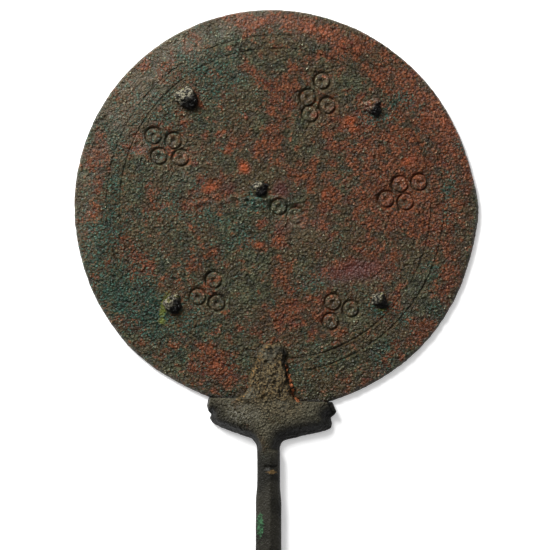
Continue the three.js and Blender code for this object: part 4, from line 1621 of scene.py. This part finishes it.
def start_material(name):
    """A new material with its nodes tool, its shader, and the object's coordinates in millimetres."""
    material = bpy.data.materials.new(name)
    material.use_nodes = True
    n = Nodes(material.node_tree)
    shader = material.node_tree.nodes["Principled BSDF"]
    coordinates = n.put("ShaderNodeTexCoord").outputs["Object"]
    return material, n, shader, n.scaled(coordinates, 1 / MM)


def skin_nodes(n, place, grain):
    """The pebbled skin's height and grain, for a grain size in millimetres."""
    node = n.put("ShaderNodeGroup", node_tree=PEBBLES)
    n.feed(node.inputs["Place"], place)
    n.feed(node.inputs["Grain Size"], grain)
    return node.outputs["Height"], node.outputs["Grain"]


def patina_nodes(n, place, height, grain, red, teal):
    """The patina's colour, roughness and metallic shine."""
    node = n.put("ShaderNodeGroup", node_tree=PATINA)
    given = {"Place": place, "Height": height, "Grain": grain, "Red": red, "Teal": teal}
    for name, value in given.items():
        n.feed(node.inputs[name], value)
    return node.outputs["Color"], node.outputs["Roughness"], node.outputs["Metallic"]


def add_bump(n, shader, height, distance):
    """Lets the height turn the shading: distance is the bump's full height in millimetres."""
    bump = n.put("ShaderNodeBump", {"Height": height, "Strength": 1.0, "Distance": distance * MM})
    n.tree.links.new(bump.outputs["Normal"], shader.inputs["Normal"])


def disc_finish():
    """Fine pebbles in the patina's colours, then pale crust that is partly a painted sheen, a darker
    colour in the cuts, a painted shadow along the shoulder, spots of purple and bright red, and
    yellow-green salts, all from the disc's own masks."""
    material, n, shader, place = start_material("disc_patina")
    height, grain = skin_nodes(n, place, DISC_GRAIN)
    masks = n.mask("red_oxide"), n.mask("teal_salts")
    patina, roughness, metal = patina_nodes(n, place, height, grain, *masks)
    # pale crust, partly a painted sheen
    pale = n.two_tone(n.noise(place, 3.0, 3.0, 0.6), 0.35, 0.65, "595346", "807567")
    patina = n.blend(n.times(n.mask("pale_crust_and_sheen"), 0.5), patina, pale)
    for name, share, over in (
        # a darker colour in the cuts
        ("cut_darkening", 0.1, "12110d"),
        # painted shadow along the shoulder's edge
        ("shoulder_shadow_line", 0.85, "0e0c09"),
        ("purple_red", 0.85, "4d2825"),
        ("bright_red", 0.75, "a84f28"),
    ):
        patina = n.cover(patina, n.mask(name), share, over)
    speckle = n.times(n.noise(place, 0.8, 2.0, 0.6), 1.2)
    salts = n.between(n.plus(n.mask("yellow_green"), speckle), 0.9, 1.6)
    n.feed(shader.inputs["Base Color"], n.cover(patina, salts, 0.8, "6b7229"))
    n.feed(shader.inputs["Roughness"], roughness)
    n.feed(shader.inputs["Metallic"], metal)
    shader.inputs["Specular IOR Level"].default_value = 0.3
    softer = n.maths("SUBTRACT", 1.0, n.times(n.mask("smoothness"), 0.65))
    add_bump(n, shader, n.times(height, softer), DISC_BUMP)
    return material


def stem_colour(n, place, patina, broad, fine):
    """A dark skin on the rod, a worn one over the patina on the shoulder's top, painted glints at its
    left, painted shade on its lower slope, and a painted golden highlight below the notch."""
    stem = n.two_tone(broad, 0.35, 0.65, "1d1c17", "2f2d26")
    worn = n.two_tone(fine, 0.3, 0.7, "474536", "6f6a58")
    upper = n.blend(n.times(n.between(broad, 0.25, 0.5), 0.85), patina, worn)
    stem = n.blend(n.times(n.mask("shoulder"), 0.9), stem, upper)
    # painted glints, speckled, on the shoulder's top at the left
    glints = n.between(n.noise(place, 0.7, 1.0), 0.5, 0.64)
    stem = n.cover(stem, n.times(glints, n.mask("painted_glints")), 0.5, "a8a598")
    # painted shade on the lower slope and sides
    stem = n.cover(stem, n.mask("shade_under"), 0.88, "0c0b08")
    # painted golden highlight below the notch
    notch_highlight = n.between(n.plus(n.mask("notch_highlight"), n.times(fine, 1.6)), 1.2, 1.8)
    return n.cover(stem, notch_highlight, 0.7, "775e38")


def tongue_colour(n, place, grain, broad, fine):
    """A brown crust with pale grains and greyer patches, ochre grains along its left side, and a painted
    shadow along its right."""
    crust = n.two_tone(fine, 0.35, 0.65, "221b12", "7d6d4e")
    crust = n.cover(crust, n.between(grain, 0.7, 0.95), 0.4, "a0957a")
    crust = n.blend(n.between(broad, 0.5, 0.62), crust, colour("615d4e"))
    golden = n.plus(n.noise(place, 0.7, 1.0), n.times(n.mask("golden"), 0.11))
    crust = n.blend(n.between(golden, 0.64, 0.72), crust, colour("917146"))
    # painted shadow along the right side
    return n.cover(crust, n.mask("painted_shadow_right"), 0.85, "0b0a08")


def with_salts(n, place, whole, fine):
    """The handle's colour with rust-red crystals in the seam and the green patch on the rod."""
    rust = n.between(n.plus(n.mask("seam"), n.times(fine, 2.4)), 1.95, 2.25)
    whole = n.blend(rust, whole, n.two_tone(fine, 0.42, 0.58, "411b0c", "b96d43"))
    ragged = n.times(n.noise(place, 1.8, 3.0, 0.7), 2.4)
    green = n.between(n.plus(n.mask("green"), ragged), 1.6, 2.2)
    salts = n.two_tone(fine, 0.4, 0.6, "162e1d", "42704c")
    return n.blend(n.times(green, 0.85), whole, salts)


def handle_finish():
    """The stem's colour, with the tongue's where the crust is and the salts over both, with painted shade
    in the hollows. The bump is strong on the crust and the shoulder, and faint on the rod."""
    material, n, shader, place = start_material("handle_patina")
    height, grain = skin_nodes(n, place, HANDLE_GRAIN)
    patina, roughness, metal = patina_nodes(n, place, height, grain, 0.05, 0.1)
    broad = n.noise(place, 9.0, 3.0)
    fine = n.noise(place, 0.9, 2.0, 0.6)
    crust = n.mask("crust")
    stem = stem_colour(n, place, patina, broad, fine)
    whole = n.blend(crust, stem, tongue_colour(n, place, grain, broad, fine))
    whole = with_salts(n, place, whole, fine)
    # painted shade in the hollows between the grains
    hollow = n.maths("SUBTRACT", 1.0, n.between(height, 0.42, 0.66))
    shade = n.times(hollow, n.plus(n.times(crust, 0.4), 0.2))
    n.feed(shader.inputs["Base Color"], n.blend(shade, whole, colour("080806")))
    n.feed(shader.inputs["Roughness"], n.plus(roughness, 0.12))
    n.feed(shader.inputs["Metallic"], n.times(metal, 0.6))
    shader.inputs["Specular IOR Level"].default_value = 0.15
    strength = n.plus(n.times(n.maths("MAXIMUM", crust, n.mask("shoulder")), 0.75), 0.2)
    pebbles = n.times(height, n.maths("SUBTRACT", strength, n.times(crust, 0.4)))
    stony = n.times(n.times(n.noise(place, 1.8, 3.0, 0.7), 2.0), crust)
    add_bump(n, shader, n.plus(pebbles, stony), HANDLE_BUMP)
    return material


def rivet_finish():
    """Dark broken metal with a shine, paler grains and a little yellow-green, red where the rivet's share
    allows it, and nearly black as painted shade on the side away from the upper left."""
    material, n, shader, place = start_material("rivet_patina")
    height, _ = skin_nodes(n, place, RIVET_GRAIN)
    whole = n.two_tone(n.noise(place, 1.3, 2.0), 0.42, 0.6, "17160f", "908a76")
    whole = n.cover(whole, n.between(n.noise(place, 2.2, 2.0), 0.6, 0.68), 0.7, "6e6d2c")
    red = n.between(n.plus(n.mask("red_share"), n.noise(place, 1.1, 2.0)), 0.9, 1.3)
    whole = n.cover(whole, red, 0.8, "7d3d24")
    # painted shade: nearly black on the side away from the upper left
    whole = n.blend(n.mask("painted_lit_side"), colour("0b0a08"), whole)
    n.feed(shader.inputs["Base Color"], whole)
    n.feed(shader.inputs["Roughness"], n.plus(n.times(height, 0.3), 0.2))
    shader.inputs["Metallic"].default_value = 0.35
    add_bump(n, shader, height, RIVET_BUMP)
    return material


disc.data.materials.append(disc_finish())
handle.data.materials.append(handle_finish())
rivet_material = rivet_finish()
for rivet in rivets:
    rivet.data.materials.append(rivet_material)
print("finishes:", sorted(m.name for m in bpy.data.materials))
